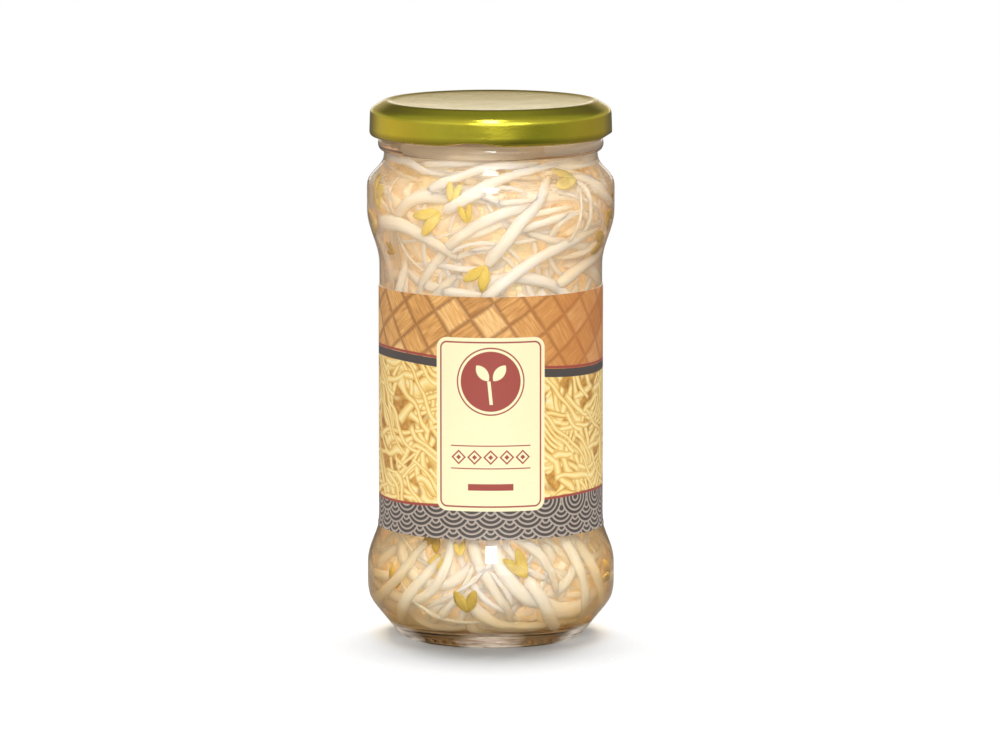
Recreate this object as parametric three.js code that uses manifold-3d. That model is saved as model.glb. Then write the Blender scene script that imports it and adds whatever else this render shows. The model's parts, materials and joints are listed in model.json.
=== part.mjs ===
// A jar of bean sprouts: a waisted glass jar with a twist-off lid and a wrap-round paper label,
// packed with pale sprouts and their yellow seed leaves in brine.
// Millimetres, +Z up, origin at the centre of the base, front towards -Y.
import * as THREE from 'three';
import { mergeVertices } from 'three/addons/utils/BufferGeometryUtils.js';
import Module from 'manifold-3d';

const wasm = await Module();
wasm.setup();

// ---- Driving dimensions ----

const SEGMENTS = 32; // flat facets round every turned piece
const FACET = 360 / SEGMENTS; // degrees

// Stations are [radius, height, steps]: steps over 1 reach the station by a soft S-curve.
const BASE = {
  pushUp: [[0, 2.6], [10, 2.3], [17.5, 1.5], [21.2, 0.6]], // the shallow dome under the jar
  bearingInner: 22.6,
  bearingOuter: 24.4,
};
const OUTSIDE = [
  [BASE.bearingInner, 0], [BASE.bearingOuter, 0], [25.56, 1], [32.2, 9.2], // heel cone
  [33.35, 11.1], [33.87, 14], [33.87, 20.5], // lower belly
  [30.5, 33.8, 4], [30.5, 103], // waist, under the label
  [33.85, 118, 4], [33.85, 125], // upper belly
  [29.2, 132.6, 4], [29.2, 134.05], // shoulder and neck
];
const WAIST_STATION = 7; // where the straight waist starts in OUTSIDE
const INSIDE = [
  [0, 5], [22, 5], [24.6, 5.35], [26.4, 6.5], [29.3, 10], [31.1, 12.5], [31.75, 15.2], [31.75, 20.2],
  [28.4, 33.6, 3], [28.4, 103.4], [31.75, 118.2, 3], [31.75, 124.2], [27, 131.6, 3],
];
const FINISH = {
  beadHeight: 136, beadHalf: 1.95, beadRadius: 30.82, // the carrying bead under the lid
  beadDegrees: [-65, -25, 25, 65], // where its round edge has corners, from level
  wallRadius: 29.2, mouthRadius: 27, rimHeight: 145.3, rimRound: 1.1,
};
const THREAD = {
  count: 4, lead: 12, spanDegrees: 60, steps: 7, bottom: 140.2, height: 1.2, crestHeight: 0.8,
  crestRadius: 30.5, endRadius: 29.5, rootRadius: 28.2,
  beforeLug: 0.7, // where a rib starts, in lug half widths before the middle of its lug
};
const LID = {
  top: 147.8, sheet: 0.35,
  panelRadius: 26.6, recess: 0.3, rimInner: 27.9, rimOuter: 29.3, // the sunk panel and the rim round it
  bevel: [31.9, 146.1], skirtTop: [33, 144.5], skirtFoot: [33.15, 140.3],
  under: [[0, 147.15], [27.2, 147.15], [29.1, 147.45], [31.7, 145.75], [32.6, 144.45], [32.8, 140.9]],
  curlRadius: 1.12, curlCentre: [32.05, 139.2], curlSteps: 6,
  lugTop: 140.5, // the lugs reshape the edge below this
};
const LUG = { angle: -9, halfWidth: 18, push: 1.25, lift: 0.75 }; // degrees from the front, mm, share
const SEAL = { inner: 26.2, outer: 30, gap: 0.2, edge: 0.2, innerSlope: 0.5, outerSlope: 0.6 };
const LABEL = {
  bottom: 31, top: 97.3, gap: 0.1, sheet: 0.15, seamDegrees: 172, overlapDegrees: 12,
};
const BRINE = { gap: 0.2, wall: 0.7, level: 138.4 };
const BUNCH = { gap: 0.25, top: 136.6, coreInset: 4.4, coreTop: 135.1, coreSegments: 14 };
const STEMS = {
  seed: 11, tries: 12000, clear: 0.05, // a stem that would run through another isn't kept
  shortest: 30, longest: 56, thin: 3.2, thick: 4, bend: 0.035, steepest: 1.2, steps: 6, sides: 5,
  deepest: 1.8, ripples: [0.09, 0.16], // how far a stem waves in from the glass, and radians a mm
  rootDepth: 4.4, // how far the root end dips in from the glass, into the core
  headEnd: 0.8, rootEnd: 0.5, // the share of its width that a stem has at each end
  lowest: 9, // as near the middle of the floor as a stem comes
  leastRadius: 6, // a stem this near the axis or nearer turns no faster round it
  // The share of stems whose middles lie in each stretch, from the middle of the floor up the wall.
  zones: [
    { share: 0.42, from: 10, to: 54 },
    { share: 0.88, from: 118, to: 200 },
    { share: 1, from: 54, to: 118 },
  ],
};
const HEADS = {
  length: 8.6, width: 3.9, thickness: 2, spread: 26, gap: 0.25, sink: 1.4, apart: 15,
  reach: 0.46, // how far along its length a leaf's middle lies from where the two part
  wallSpan: 3, // the wall's slope is read this far above and below
  bands: [[11, 29], [99, 130]], // heights between which they lie against the glass
};

const CONTENTS_GAP = BRINE.gap + BRINE.wall + BUNCH.gap; // from the glass to the sprouts

// ---- Closed solids ----

// Joins shared points, drops collapsed triangles and turns the faces outwards.
function closedSolid(geometry) {
  geometry.deleteAttribute('normal');
  geometry.deleteAttribute('uv');
  const welded = mergeVertices(geometry, 1e-4);
  const corners = [...welded.index.array];
  const kept = [];
  for (let i = 0; i < corners.length; i += 3) {
    const [a, b, c] = corners.slice(i, i + 3);
    if (a !== b && b !== c && c !== a) kept.push(a, b, c);
  }
  welded.setIndex(signedVolume(welded, kept) < 0 ? kept.reverse() : kept);
  return welded;
}

function signedVolume(geometry, corners) {
  const [a, b, c] = [new THREE.Vector3(), new THREE.Vector3(), new THREE.Vector3()];
  const points = geometry.getAttribute('position');
  let sum = 0;
  for (let i = 0; i < corners.length; i += 3) {
    a.fromBufferAttribute(points, corners[i]);
    b.fromBufferAttribute(points, corners[i + 1]);
    c.fromBufferAttribute(points, corners[i + 2]);
    sum += a.dot(b.cross(c)) / 6;
  }
  return sum;
}

function solidOf(geometry) {
  const mesh = new wasm.Mesh({
    numProp: 3,
    vertProperties: new Float32Array(geometry.getAttribute('position').array),
    triVerts: new Uint32Array(geometry.index.array),
  });
  return new wasm.Manifold(mesh);
}

// The largest body of a solid: loose scraps go, and hollows sealed inside it are filled.
function geometryOf(solid) {
  const bodies = solid.decompose().sort((a, b) => b.volume() - a.volume());
  const mesh = bodies[0].getMesh();
  const geometry = new THREE.BufferGeometry();
  geometry.setAttribute('position', new THREE.BufferAttribute(mesh.vertProperties, 3));
  geometry.setIndex(new THREE.BufferAttribute(mesh.triVerts, 1));
  return geometry;
}

// A solid turned about the Z axis, whose angles run from the front (-Y) towards +X.
function turned(profile, segments = SEGMENTS) {
  return closedSolid(new THREE.LatheGeometry(profile, segments).rotateX(Math.PI / 2));
}

// A solid through rings of points. The ladder that closes each end joins the ring's two sides,
// so it suits a round ring and the long thin ring of a bent sheet.
function loft(rings) {
  const count = rings[0].length;
  const index = [];
  for (let i = 0; i < (rings.length - 1) * count; i += 1) {
    const next = i % count === count - 1 ? i + 1 - count : i + 1;
    index.push(i, next, next + count, i, next + count, i + count);
  }
  const last = (rings.length - 1) * count;
  for (let low = 0, high = count - 1; high - low > 1; low += 1, high -= 1) {
    index.push(low, high, low + 1, last + low, last + low + 1, last + high);
    if (high - low > 2) {
      index.push(low + 1, high, high - 1, last + low + 1, last + high - 1, last + high);
    }
  }
  const geometry = new THREE.BufferGeometry().setFromPoints(rings.flat());
  geometry.setIndex(index);
  return closedSolid(geometry);
}

// A point at a radius, an angle from the front in radians and a height.
function polar(radius, angle, height) {
  return new THREE.Vector3(radius * Math.sin(angle), -radius * Math.cos(angle), height);
}

// ---- Profiles: lists of (radius, height) ----

function profileThrough(stations) {
  const points = [];
  stations.forEach(([radius, height, steps = 1], i) => {
    const [startRadius, startHeight] = stations[Math.max(i - 1, 0)];
    for (let step = 1; step <= steps; step += 1) {
      const t = step / steps;
      const eased = steps > 1 ? (1 - Math.cos(Math.PI * t)) / 2 : t;
      points.push(new THREE.Vector2(
        THREE.MathUtils.lerp(startRadius, radius, eased),
        THREE.MathUtils.lerp(startHeight, height, t),
      ));
    }
  });
  return points;
}

// The profile moved to its left by a distance, which is inwards for one that runs out and up.
function inset(profile, distance) {
  return profile.map((point, i) => {
    const before = profile[Math.max(i - 1, 0)];
    const after = profile[Math.min(i + 1, profile.length - 1)];
    const along = after.clone().sub(before).normalize();
    const moved = new THREE.Vector2(point.x - along.y * distance, point.y + along.x * distance);
    moved.x = point.x === 0 ? 0 : moved.x;
    return moved;
  });
}

function radiusAt(profile, height) {
  const i = Math.max(profile.findIndex((point) => point.y > height), 1);
  const [low, high] = [profile[i - 1], profile[i]];
  return THREE.MathUtils.mapLinear(height, low.y, high.y, low.x, high.x);
}

// The part of a rising profile below a height, ended exactly there.
function cutAt(profile, height) {
  const below = profile.filter((point) => point.y < height);
  return [...below, new THREE.Vector2(radiusAt(profile, height), height)];
}

function arc(centre, radius, fromDegrees, toDegrees, steps) {
  return Array.from({ length: steps + 1 }, (_, i) => {
    const angle = THREE.MathUtils.degToRad(fromDegrees + ((toDegrees - fromDegrees) * i) / steps);
    return new THREE.Vector2(centre[0] + radius * Math.cos(angle), centre[1] + radius * Math.sin(angle));
  });
}

const outside = profileThrough(OUTSIDE);
const cavity = profileThrough([...INSIDE, [FINISH.mouthRadius, FINISH.rimHeight - FINISH.rimRound]]);

// ---- Glass jar ----

function jarProfile() {
  const { beadHeight, beadHalf, beadRadius, wallRadius, mouthRadius, rimHeight, rimRound } = FINISH;
  const bead = FINISH.beadDegrees.map((degrees) => {
    const angle = THREE.MathUtils.degToRad(degrees);
    const swell = (beadRadius - wallRadius) * Math.cos(angle);
    return new THREE.Vector2(wallRadius + swell, beadHeight + beadHalf * Math.sin(angle));
  });
  const rimCentre = rimHeight - rimRound;
  return [
    ...profileThrough(BASE.pushUp),
    ...outside,
    ...bead,
    new THREE.Vector2(wallRadius, beadHeight + beadHalf),
    ...arc([wallRadius - rimRound, rimCentre], rimRound, 0, 90, 2),
    ...arc([mouthRadius + rimRound, rimCentre], rimRound, 135, 180, 1),
    ...cavity.slice(0, -1).reverse(),
  ];
}

// One of the four sloped ribs that the lid's lugs run under.
function threadRib(startAngle) {
  const rings = [];
  const slope = (THREAD.height - THREAD.crestHeight) / 2;
  for (let i = 0; i <= THREAD.steps; i += 1) {
    const turn = THREE.MathUtils.degToRad((THREAD.spanDegrees * i) / THREAD.steps);
    const bottom = THREAD.bottom + (THREAD.lead * turn) / (2 * Math.PI);
    const atEnd = i === 0 || i === THREAD.steps;
    const crest = atEnd ? THREAD.endRadius : THREAD.crestRadius;
    const angle = startAngle + turn;
    rings.push([
      polar(THREAD.rootRadius, angle, bottom),
      polar(crest, angle, bottom + slope),
      polar(crest, angle, bottom + slope + THREAD.crestHeight),
      polar(THREAD.rootRadius, angle, bottom + THREAD.height),
    ]);
  }
  return loft(rings);
}

function glassJar() {
  let glass = solidOf(turned(jarProfile()));
  for (let i = 0; i < THREAD.count; i += 1) {
    const lugAngle = LUG.angle + (360 / THREAD.count) * i;
    const start = THREE.MathUtils.degToRad(lugAngle - LUG.halfWidth * THREAD.beforeLug);
    glass = glass.add(solidOf(threadRib(start)));
  }
  return geometryOf(glass);
}

// ---- Lid and its seal ----

function lidProfile() {
  const { top, recess, bevel, skirtTop, skirtFoot, curlRadius, curlCentre } = LID;
  const corner = (station) => new THREE.Vector2(...station);
  return [
    ...LID.under.map(corner),
    ...arc(curlCentre, curlRadius, 90, 360, LID.curlSteps),
    ...[skirtFoot, skirtTop, bevel, [LID.rimOuter, top], [LID.rimInner, top]].map(corner),
    ...[[LID.panelRadius, top - recess], [0, top - recess]].map(corner),
  ];
}

// How strongly a lug shapes the curl at an angle in degrees from the front.
function lugWeight(degrees) {
  const spacing = 360 / THREAD.count;
  const offset = THREE.MathUtils.euclideanModulo(degrees - LUG.angle + spacing / 2, spacing) - spacing / 2;
  const t = Math.min(Math.abs(offset) / LUG.halfWidth, 1);
  return 1 - t * t * (3 - 2 * t);
}

// The lugs: the curled edge is pressed inwards and up at four places.
function lid() {
  const geometry = turned(lidProfile());
  const points = geometry.getAttribute('position');
  const [, curlHeight] = LID.curlCentre;
  const curlOuter = LID.curlCentre[0] + LID.curlRadius;
  for (let i = 0; i < points.count; i += 1) {
    const [x, y, z] = [points.getX(i), points.getY(i), points.getZ(i)];
    const radius = Math.hypot(x, y);
    if (z < LID.lugTop && radius > LID.rimOuter) {
      const weight = lugWeight(THREE.MathUtils.radToDeg(Math.atan2(x, -y)));
      const inwards = (curlOuter - radius) / (2 * LID.curlRadius);
      const newRadius = radius - LUG.push * weight * inwards;
      const newHeight = z < curlHeight ? curlHeight - (curlHeight - z) * (1 - LUG.lift * weight) : z;
      points.setXYZ(i, (x * newRadius) / radius, (y * newRadius) / radius, newHeight);
    }
  }
  return geometry;
}

// The ring of sealing compound between the glass rim and the lid.
function lidSeal() {
  const bottom = FINISH.rimHeight + SEAL.gap;
  const slope = (LID.top - LID.bevel[1]) / (LID.bevel[0] - LID.rimOuter);
  const panelUnder = LID.top - LID.recess - LID.sheet - SEAL.gap;
  const under = (radius) => panelUnder - slope * Math.max(radius - LID.rimOuter, 0);
  return turned([
    new THREE.Vector2(SEAL.inner, bottom + SEAL.edge),
    new THREE.Vector2(SEAL.inner + SEAL.innerSlope, bottom),
    new THREE.Vector2(SEAL.outer - SEAL.outerSlope, bottom),
    new THREE.Vector2(SEAL.outer, bottom + SEAL.edge),
    new THREE.Vector2(SEAL.outer, under(SEAL.outer)),
    new THREE.Vector2(SEAL.inner, under(SEAL.inner)),
    new THREE.Vector2(SEAL.inner, bottom + SEAL.edge),
  ]);
}

// ---- Paper label ----

// A strip wrapped once round the waist, whose end laps over its start at the back.
function paperLabel() {
  const [, waistStart] = OUTSIDE[WAIST_STATION];
  const heights = [LABEL.bottom, waistStart, LABEL.top];
  const end = LABEL.seamDegrees + 360 + LABEL.overlapDegrees;
  const angles = [LABEL.seamDegrees];
  for (let i = Math.ceil(LABEL.seamDegrees / FACET); i * FACET < end; i += 1) {
    angles.push(i * FACET);
  }
  angles.push(end);
  const rings = angles.map((degrees) => {
    const overStart = degrees > LABEL.seamDegrees + 360 - FACET;
    const lap = overStart ? LABEL.sheet + LABEL.gap : 0;
    const angle = THREE.MathUtils.degToRad(degrees);
    const at = (lift) => (height) => (
      polar((radiusAt(outside, height) + lift + lap) * facetScale(degrees), angle, height)
    );
    return [...heights.map(at(LABEL.gap + LABEL.sheet)), ...heights.toReversed().map(at(LABEL.gap))];
  });
  return loft(rings);
}

// Where an angle falls between two corners of the turned glass, its flat face lies nearer the axis.
function facetScale(degrees) {
  const half = THREE.MathUtils.degToRad(FACET / 2);
  const offset = THREE.MathUtils.degToRad(THREE.MathUtils.euclideanModulo(degrees, FACET)) - half;
  return Math.cos(half) / Math.cos(offset);
}

// ---- Brine ----

// The liquid between the glass and the bunch, with one plain hole that the sprouts stand in.
function brine() {
  const outer = cutAt(inset(cavity, BRINE.gap), BRINE.level);
  const inner = cutAt(inset(cavity, BRINE.gap + BRINE.wall), BRINE.level);
  return turned([...outer, ...inner.reverse()]);
}

// ---- Sprouts ----

// A repeatable stream of numbers from 0 to 1.
function randomStream(seed) {
  let state = seed;
  return () => {
    state = (Math.imul(state, 1664525) + 1013904223) >>> 0;
    return state / 4294967296;
  };
}

// The point at a distance along a profile, from the middle of the floor, up the wall.
function alongProfile(profile, distance) {
  let left = distance;
  for (let i = 1; i < profile.length; i += 1) {
    const length = profile[i].distanceTo(profile[i - 1]);
    if (left <= length || i === profile.length - 1) {
      return profile[i - 1].clone().lerp(profile[i], Math.min(left / length, 1));
    }
    left -= length;
  }
  return profile[0];
}

function lengthOf(profile) {
  return profile.slice(1).reduce((sum, point, i) => sum + point.distanceTo(profile[i]), 0);
}

// One stem's middle line: a curve of steady bend that lies against the inside of the jar.
function stemPath(stem, profile, total) {
  const points = [];
  const stride = stem.length / STEMS.steps;
  [1, -1].forEach((way) => {
    let { angle, distance, heading } = stem;
    for (let i = 0; i <= STEMS.steps / 2; i += 1) {
      const along = i * stride * way;
      const wave = 0.5 + 0.5 * Math.sin(stem.phase + along * stem.ripple);
      const rooted = Math.max(0.5 + along / stem.length, 0) ** 4;
      const { x: radius, y: height } = alongProfile(profile, distance);
      const depth = stem.sink * wave * (1 - rooted) + STEMS.rootDepth * rooted;
      const point = polar(radius - depth, angle, height);
      if (way > 0) points.push(point);
      else if (i > 0) points.unshift(point);
      heading += stem.bend * stride * way;
      const wanted = distance + Math.sin(heading) * stride * way;
      const limited = THREE.MathUtils.clamp(wanted, STEMS.lowest, total);
      const rise = limited - distance;
      const across = Math.sqrt(Math.max(stride * stride - rise * rise, 0));
      angle += (Math.sign(Math.cos(heading)) * way * across) / Math.max(radius, STEMS.leastRadius);
      distance = limited;
    }
  });
  return points;
}

// Rings of corners round a middle line, one corner pointing away from the jar's axis.
function tubeRings(points, radii, sides) {
  return points.map((point, i) => {
    const before = points[Math.max(i - 1, 0)];
    const after = points[Math.min(i + 1, points.length - 1)];
    const tangent = after.clone().sub(before).normalize();
    const outwards = new THREE.Vector3(point.x, point.y, 0.001);
    const side = tangent.clone().cross(outwards).normalize();
    const up = side.clone().cross(tangent);
    return Array.from({ length: sides }, (_, j) => {
      const turn = (j * 2 * Math.PI) / sides;
      return point.clone().addScaledVector(up, radii[i] * Math.cos(turn))
        .addScaledVector(side, radii[i] * Math.sin(turn));
    });
  });
}

function randomStem(between, profile, total) {
  const last = STEMS.zones.length - 1;
  const zone = STEMS.zones.find(({ share }, i) => i === last || between(0, 1) < share);
  const stem = {
    distance: between(zone.from, Math.min(zone.to, total)),
    angle: between(0, 2 * Math.PI),
    heading: between(-STEMS.steepest, STEMS.steepest),
    length: between(STEMS.shortest, STEMS.longest),
    width: between(STEMS.thin, STEMS.thick),
    bend: between(-STEMS.bend, STEMS.bend),
    phase: between(0, 2 * Math.PI),
    ripple: between(...STEMS.ripples),
    sink: between(0, STEMS.deepest),
  };
  return { ...stem, points: stemPath(stem, profile, total) };
}

// Whether two stems lie clear of each other, their root ends aside.
function standApart(stem, other) {
  const least = (stem.width + other.width) / 2 + STEMS.clear;
  const samples = ({ points }) => points.slice(0, -1).flatMap((point, i) => (
    [0, 0.33, 0.67].map((t) => point.clone().lerp(points[i + 1], t))
  ));
  const others = samples(other);
  return samples(stem).every((point) => others.every((place) => point.distanceTo(place) > least));
}

// Stems are drawn one after another until hardly any more would fit.
function makeStems() {
  const random = randomStream(STEMS.seed);
  const between = (low, high) => low + (high - low) * random();
  const widest = inset(cutAt(cavity, BUNCH.top), CONTENTS_GAP + STEMS.thick / 2);
  const total = lengthOf(widest) - STEMS.thick;
  const kept = [];
  for (let i = 0; i < STEMS.tries; i += 1) {
    const stem = randomStem(between, widest, total);
    if (kept.every((other) => standApart(stem, other))) kept.push(stem);
  }
  return kept;
}

function stemSolid({ points, width }) {
  const last = points.length - 1;
  const taper = 1 - STEMS.rootEnd;
  const radii = points.map((_, i) => (width / 2) * (i === 0 ? STEMS.headEnd : 1 - taper * (i / last) ** 3));
  return solidOf(loft(tubeRings(points, radii, STEMS.sides)));
}

// The smaller core that the stems stand out of.
function bunchCore() {
  const side = cutAt(inset(cavity, CONTENTS_GAP + BUNCH.coreInset), BUNCH.coreTop);
  const simple = side.filter((_, i) => i % 2 === 0 || i === side.length - 1);
  return solidOf(turned([...simple, new THREE.Vector2(0, BUNCH.coreTop)], BUNCH.coreSegments));
}

// One sprout's head: two thick yellow seed leaves that part from the end of the stem and lie
// flat against the inside of the jar. Its room is the recess that it needs, open to the outside.
function headSolid({ points }, profile, swell) {
  const [end, before] = points;
  const height = end.z;
  const angle = Math.atan2(end.x, -end.y);
  const span = HEADS.wallSpan;
  const slope = (radiusAt(profile, height + span) - radiusAt(profile, height - span)) / (2 * span);
  const face = polar(1, angle, -slope).normalize();
  const forwards = end.clone().sub(before).cross(face).cross(face).normalize().negate();
  const side = face.clone().cross(forwards);
  const place = polar(radiusAt(profile, height) - HEADS.sink, angle, height);
  const frame = new THREE.Matrix4().makeBasis(forwards, side, face).setPosition(place);
  const half = [HEADS.length / 2 + swell, HEADS.width / 2 + swell, HEADS.thickness / 2 + swell];
  const lobes = [-1, 1].map((way) => {
    const lobe = new THREE.SphereGeometry(1, 6, 3).rotateZ(Math.PI / 2).scale(...half);
    lobe.translate(HEADS.length * HEADS.reach, 0, 0);
    lobe.rotateZ(THREE.MathUtils.degToRad(way * HEADS.spread));
    return closedSolid(lobe.applyMatrix4(frame));
  });
  return { head: solidOf(lobes[0]).add(solidOf(lobes[1])), face };
}

function headRoom(stem, profile) {
  const { head, face } = headSolid(stem, profile, HEADS.gap);
  return head.add(head.translate(face.clone().multiplyScalar(HEADS.thickness).toArray()));
}

// The stems whose ends lie in the two bands, each end clear of the ones before it.
function stemsWithHeads(stems) {
  const inBand = ({ z }) => HEADS.bands.some(([low, high]) => z > low && z < high);
  return stems.filter(({ points }) => inBand(points[0])).reduce((kept, stem) => {
    const clear = kept.every((other) => other.points[0].distanceTo(stem.points[0]) > HEADS.apart);
    return clear ? [...kept, stem] : kept;
  }, []);
}

function bunch() {
  const stems = makeStems();
  const envelope = inset(cutAt(cavity, BUNCH.top), CONTENTS_GAP);
  const room = solidOf(turned([...envelope, new THREE.Vector2(0, BUNCH.top)]));
  const headed = stemsWithHeads(stems);
  const heads = headed.map((stem) => headSolid(stem, envelope, 0).head.intersect(room));
  const rooms = headed.map((stem) => headRoom(stem, envelope));
  const whole = stems.reduce((sum, stem) => sum.add(stemSolid(stem)), bunchCore()).intersect(room);
  const sprouts = rooms.reduce((left, headsRoom) => left.subtract(headsRoom), whole);
  return { sprouts: geometryOf(sprouts), heads: heads.map(geometryOf) };
}

// ---- Assembly ----

const FINISHES = {
  glass: { color: 0xdfe6dc, roughness: 0.05, metalness: 0, transparent: true, opacity: 0.35 },
  lid: { color: 0xb8ad45, roughness: 0.3, metalness: 0.9 },
  seal: { color: 0xe9e6da, roughness: 0.7, metalness: 0 },
  label: { color: 0xe4b17b, roughness: 0.6, metalness: 0 },
  brine: { color: 0xe0b878, roughness: 0.1, metalness: 0, transparent: true, opacity: 0.4 },
  sprout: { color: 0xf1e7d6, roughness: 0.45, metalness: 0 },
  seedLeaf: { color: 0xe8c84a, roughness: 0.5, metalness: 0 },
};

function piece(name, geometry, finish) {
  geometry.computeVertexNormals();
  const material = new THREE.MeshStandardMaterial({ ...FINISHES[finish], flatShading: true });
  const mesh = new THREE.Mesh(geometry, material);
  mesh.name = name;
  return mesh;
}

const model = new THREE.Group();
const { sprouts, heads } = bunch();
model.add(piece('glass_jar', glassJar(), 'glass'));
model.add(piece('lid', lid(), 'lid'));
model.add(piece('lid_seal', lidSeal(), 'seal'));
model.add(piece('paper_label', paperLabel(), 'label'));
model.add(piece('brine', brine(), 'brine'));
model.add(piece('sprouts', sprouts, 'sprout'));
heads.forEach((head, i) => {
  model.add(piece(`seed_leaves_${String(i + 1).padStart(2, '0')}`, head, 'seedLeaf'));
});

export default model;
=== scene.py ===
"""A jar of bean sprouts: a waisted glass jar with a twist-off lid and a wrap-round paper label,
packed with pale sprouts and their yellow seed leaves in brine.

Sizes are in millimetres as in the part's source, and become metres where a mesh is made or a camera
or lamp is placed.
Angles run from the front (-Y) towards +X.
"""
import json
import math
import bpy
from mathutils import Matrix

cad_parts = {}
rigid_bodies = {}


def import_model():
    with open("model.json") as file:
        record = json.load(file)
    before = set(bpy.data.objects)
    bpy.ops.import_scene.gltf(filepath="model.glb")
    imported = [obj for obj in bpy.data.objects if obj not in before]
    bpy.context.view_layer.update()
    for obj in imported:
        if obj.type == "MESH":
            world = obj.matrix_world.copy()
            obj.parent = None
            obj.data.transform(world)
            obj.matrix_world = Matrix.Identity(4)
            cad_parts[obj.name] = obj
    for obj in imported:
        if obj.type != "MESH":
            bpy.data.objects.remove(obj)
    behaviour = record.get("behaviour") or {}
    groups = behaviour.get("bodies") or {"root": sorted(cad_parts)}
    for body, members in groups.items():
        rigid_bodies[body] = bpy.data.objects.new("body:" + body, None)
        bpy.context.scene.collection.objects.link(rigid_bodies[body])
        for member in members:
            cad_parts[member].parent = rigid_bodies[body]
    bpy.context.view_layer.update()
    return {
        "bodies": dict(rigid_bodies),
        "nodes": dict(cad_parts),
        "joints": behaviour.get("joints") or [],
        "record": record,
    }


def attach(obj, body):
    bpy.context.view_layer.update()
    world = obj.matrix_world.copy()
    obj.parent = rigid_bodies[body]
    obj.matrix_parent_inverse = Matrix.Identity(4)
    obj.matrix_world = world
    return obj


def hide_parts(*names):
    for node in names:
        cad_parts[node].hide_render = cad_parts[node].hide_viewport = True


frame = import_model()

from types import SimpleNamespace as Values

import bmesh
import bpy
import numpy as np
from mathutils import Vector

MM = 0.001
WHITE = (1, 1, 1)
CRISP = 0.12  # the width of a soft step that is given no other

# ---- The part's own sizes. A profile's rows are [radius, height, steps of a soft S-curve]. ----

PUSH_UP = [[0, 2.6], [10, 2.3], [17.5, 1.5], [21.2, 0.6]]
OUTSIDE = [
    [22.6, 0], [24.4, 0], [25.56, 1], [32.2, 9.2], [33.35, 11.1], [33.87, 14], [33.87, 20.5],
    [30.5, 33.8, 4], [30.5, 103], [33.85, 118, 4], [33.85, 125], [29.2, 132.6, 4], [29.2, 134.05],
]
INSIDE = [
    [0, 5], [22, 5], [24.6, 5.35], [26.4, 6.5], [29.3, 10], [31.1, 12.5], [31.75, 15.2], [31.75, 20.2],
    [28.4, 33.6, 3], [28.4, 103.4], [31.75, 118.2, 3], [31.75, 124.2], [27, 131.6, 3],
]
MOUTH = [27, 144.2]
BEAD = Values(height=136, half=1.95, radius=30.82)
NECK = Values(wall=29.2, wall_bottom=138.3, rim=145.3, round=1.1)
THREAD = Values(count=4, lead=12, span=60, bottom=140.2, height=1.2, crest=30.5)
LID = Values(
    top=147.8, panel=26.6, rim=29.3, bevel=(31.9, 146.1), skirt_top=(33, 144.5), skirt_foot=(33.15, 140.3),
    sheet=0.35, curl_radius=1.12, curl_centre=(32.05, 139.2), recess=0.3, dish=0.22,
)
LUG = Values(angle=-9, half_width=18, push=1.25, lift=0.75, top=141.6)
SEAL = Values(inner=26.2, outer=30, gap=0.2)
LABEL = Values(
    bottom=31, top=97.3, gap=0.1, sheet=0.15, seam=172, wrap=372, lap=4, radius=30.75,
    bend_top=35, straight_from=45, columns=187,
)
BRINE_LEVEL = 138.4
BUNCH_TOP = 136.6
CORE_TOP = 132
STEMS = Values(
    seed=11, tries=12000, shortest=30, longest=56, thin=3.2, thick=4, steps=6, bend=0.035, steepest=1.2,
    ripple=(0.09, 0.16), sink=(0, 1.8), root_depth=4.4, clear=0.05, contents_gap=1.15,
    zones=[(0.42, 10, 54), (0.88, 118, 200), (1, 54, 118)],  # a chance, and the stretch of wall it picks
    lowest=9,  # the least distance from the middle of the jar's base, along the wall
    axis=6,    # the least radius that a stem's turning is reckoned at
)
HEADS = Values(
    length=8.6, width=3.9, thickness=2, spread=26, sink=1.4, apart=15, bands=[(11, 29), (99, 130)],
    tip_taper=0.3, root_taper=0.22, groove=0.22, cup=0.35, part=0.12, inner_end=0.46,
    half=3.2,        # the room that a pair takes on the wall, as a half width
    small_half=2.4,
    deepest=6.5,     # beyond this a small pair wouldn't be seen
    proud=0.8,       # how far a pair stands before the source's, where nothing is in its way
)
STRANDS = Values(
    contact=0.35,  # between the glass and the nearest sprouts
    flat=0.86,     # the share of its thickness that a strand pressed against the glass keeps
    nestle=0.76,   # the share of its width that a soft strand keeps to itself
    deepest=6.4,   # from the glass to the core
    stride=2.0,    # between a strand's points
    margin=0.8,    # how far beyond a strand the map of the wall is searched
    base=(5, 62), waist=(62, 118), shoulder=118,  # stretches of wall, as distances along it
)
WALL_MAP = Values(row=0.7, columns=256)


# ---- Profiles ----

def through(stations, finer=1):
    """Points through the stations. Finer takes more steps along each S-curve."""
    points = []
    for i, (radius, height, *rest) in enumerate(stations):
        steps = rest[0] * finer if rest else 1
        before = stations[max(i - 1, 0)]
        for step in range(1, steps + 1):
            t = step / steps
            share = (1 - math.cos(math.pi * t)) / 2 if rest else t
            points.append((before[0] + (radius - before[0]) * share, before[1] + (height - before[1]) * t))
    return np.array(points, float)


def inwards_from(profile):
    """Unit vectors to the profile's left, which is inwards for one that runs out and up."""
    along = np.gradient(profile, axis=0)
    along /= np.linalg.norm(along, axis=1)[:, None]
    return np.stack([-along[:, 1], along[:, 0]], 1)


def inset(profile, distance):
    moved = profile + inwards_from(profile) * distance
    moved[profile[:, 0] == 0, 0] = 0
    return moved


def radius_at(profile, height):
    return np.interp(height, profile[:, 1], profile[:, 0])


def cut_at(profile, height):
    below = profile[profile[:, 1] < height]
    return np.vstack([below, [[radius_at(profile, height), height]]])


def reach_of(profile):
    """The distance of each point from the profile's start, along it."""
    return np.concatenate([[0], np.cumsum(np.linalg.norm(np.diff(profile, axis=0), axis=1))])


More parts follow.
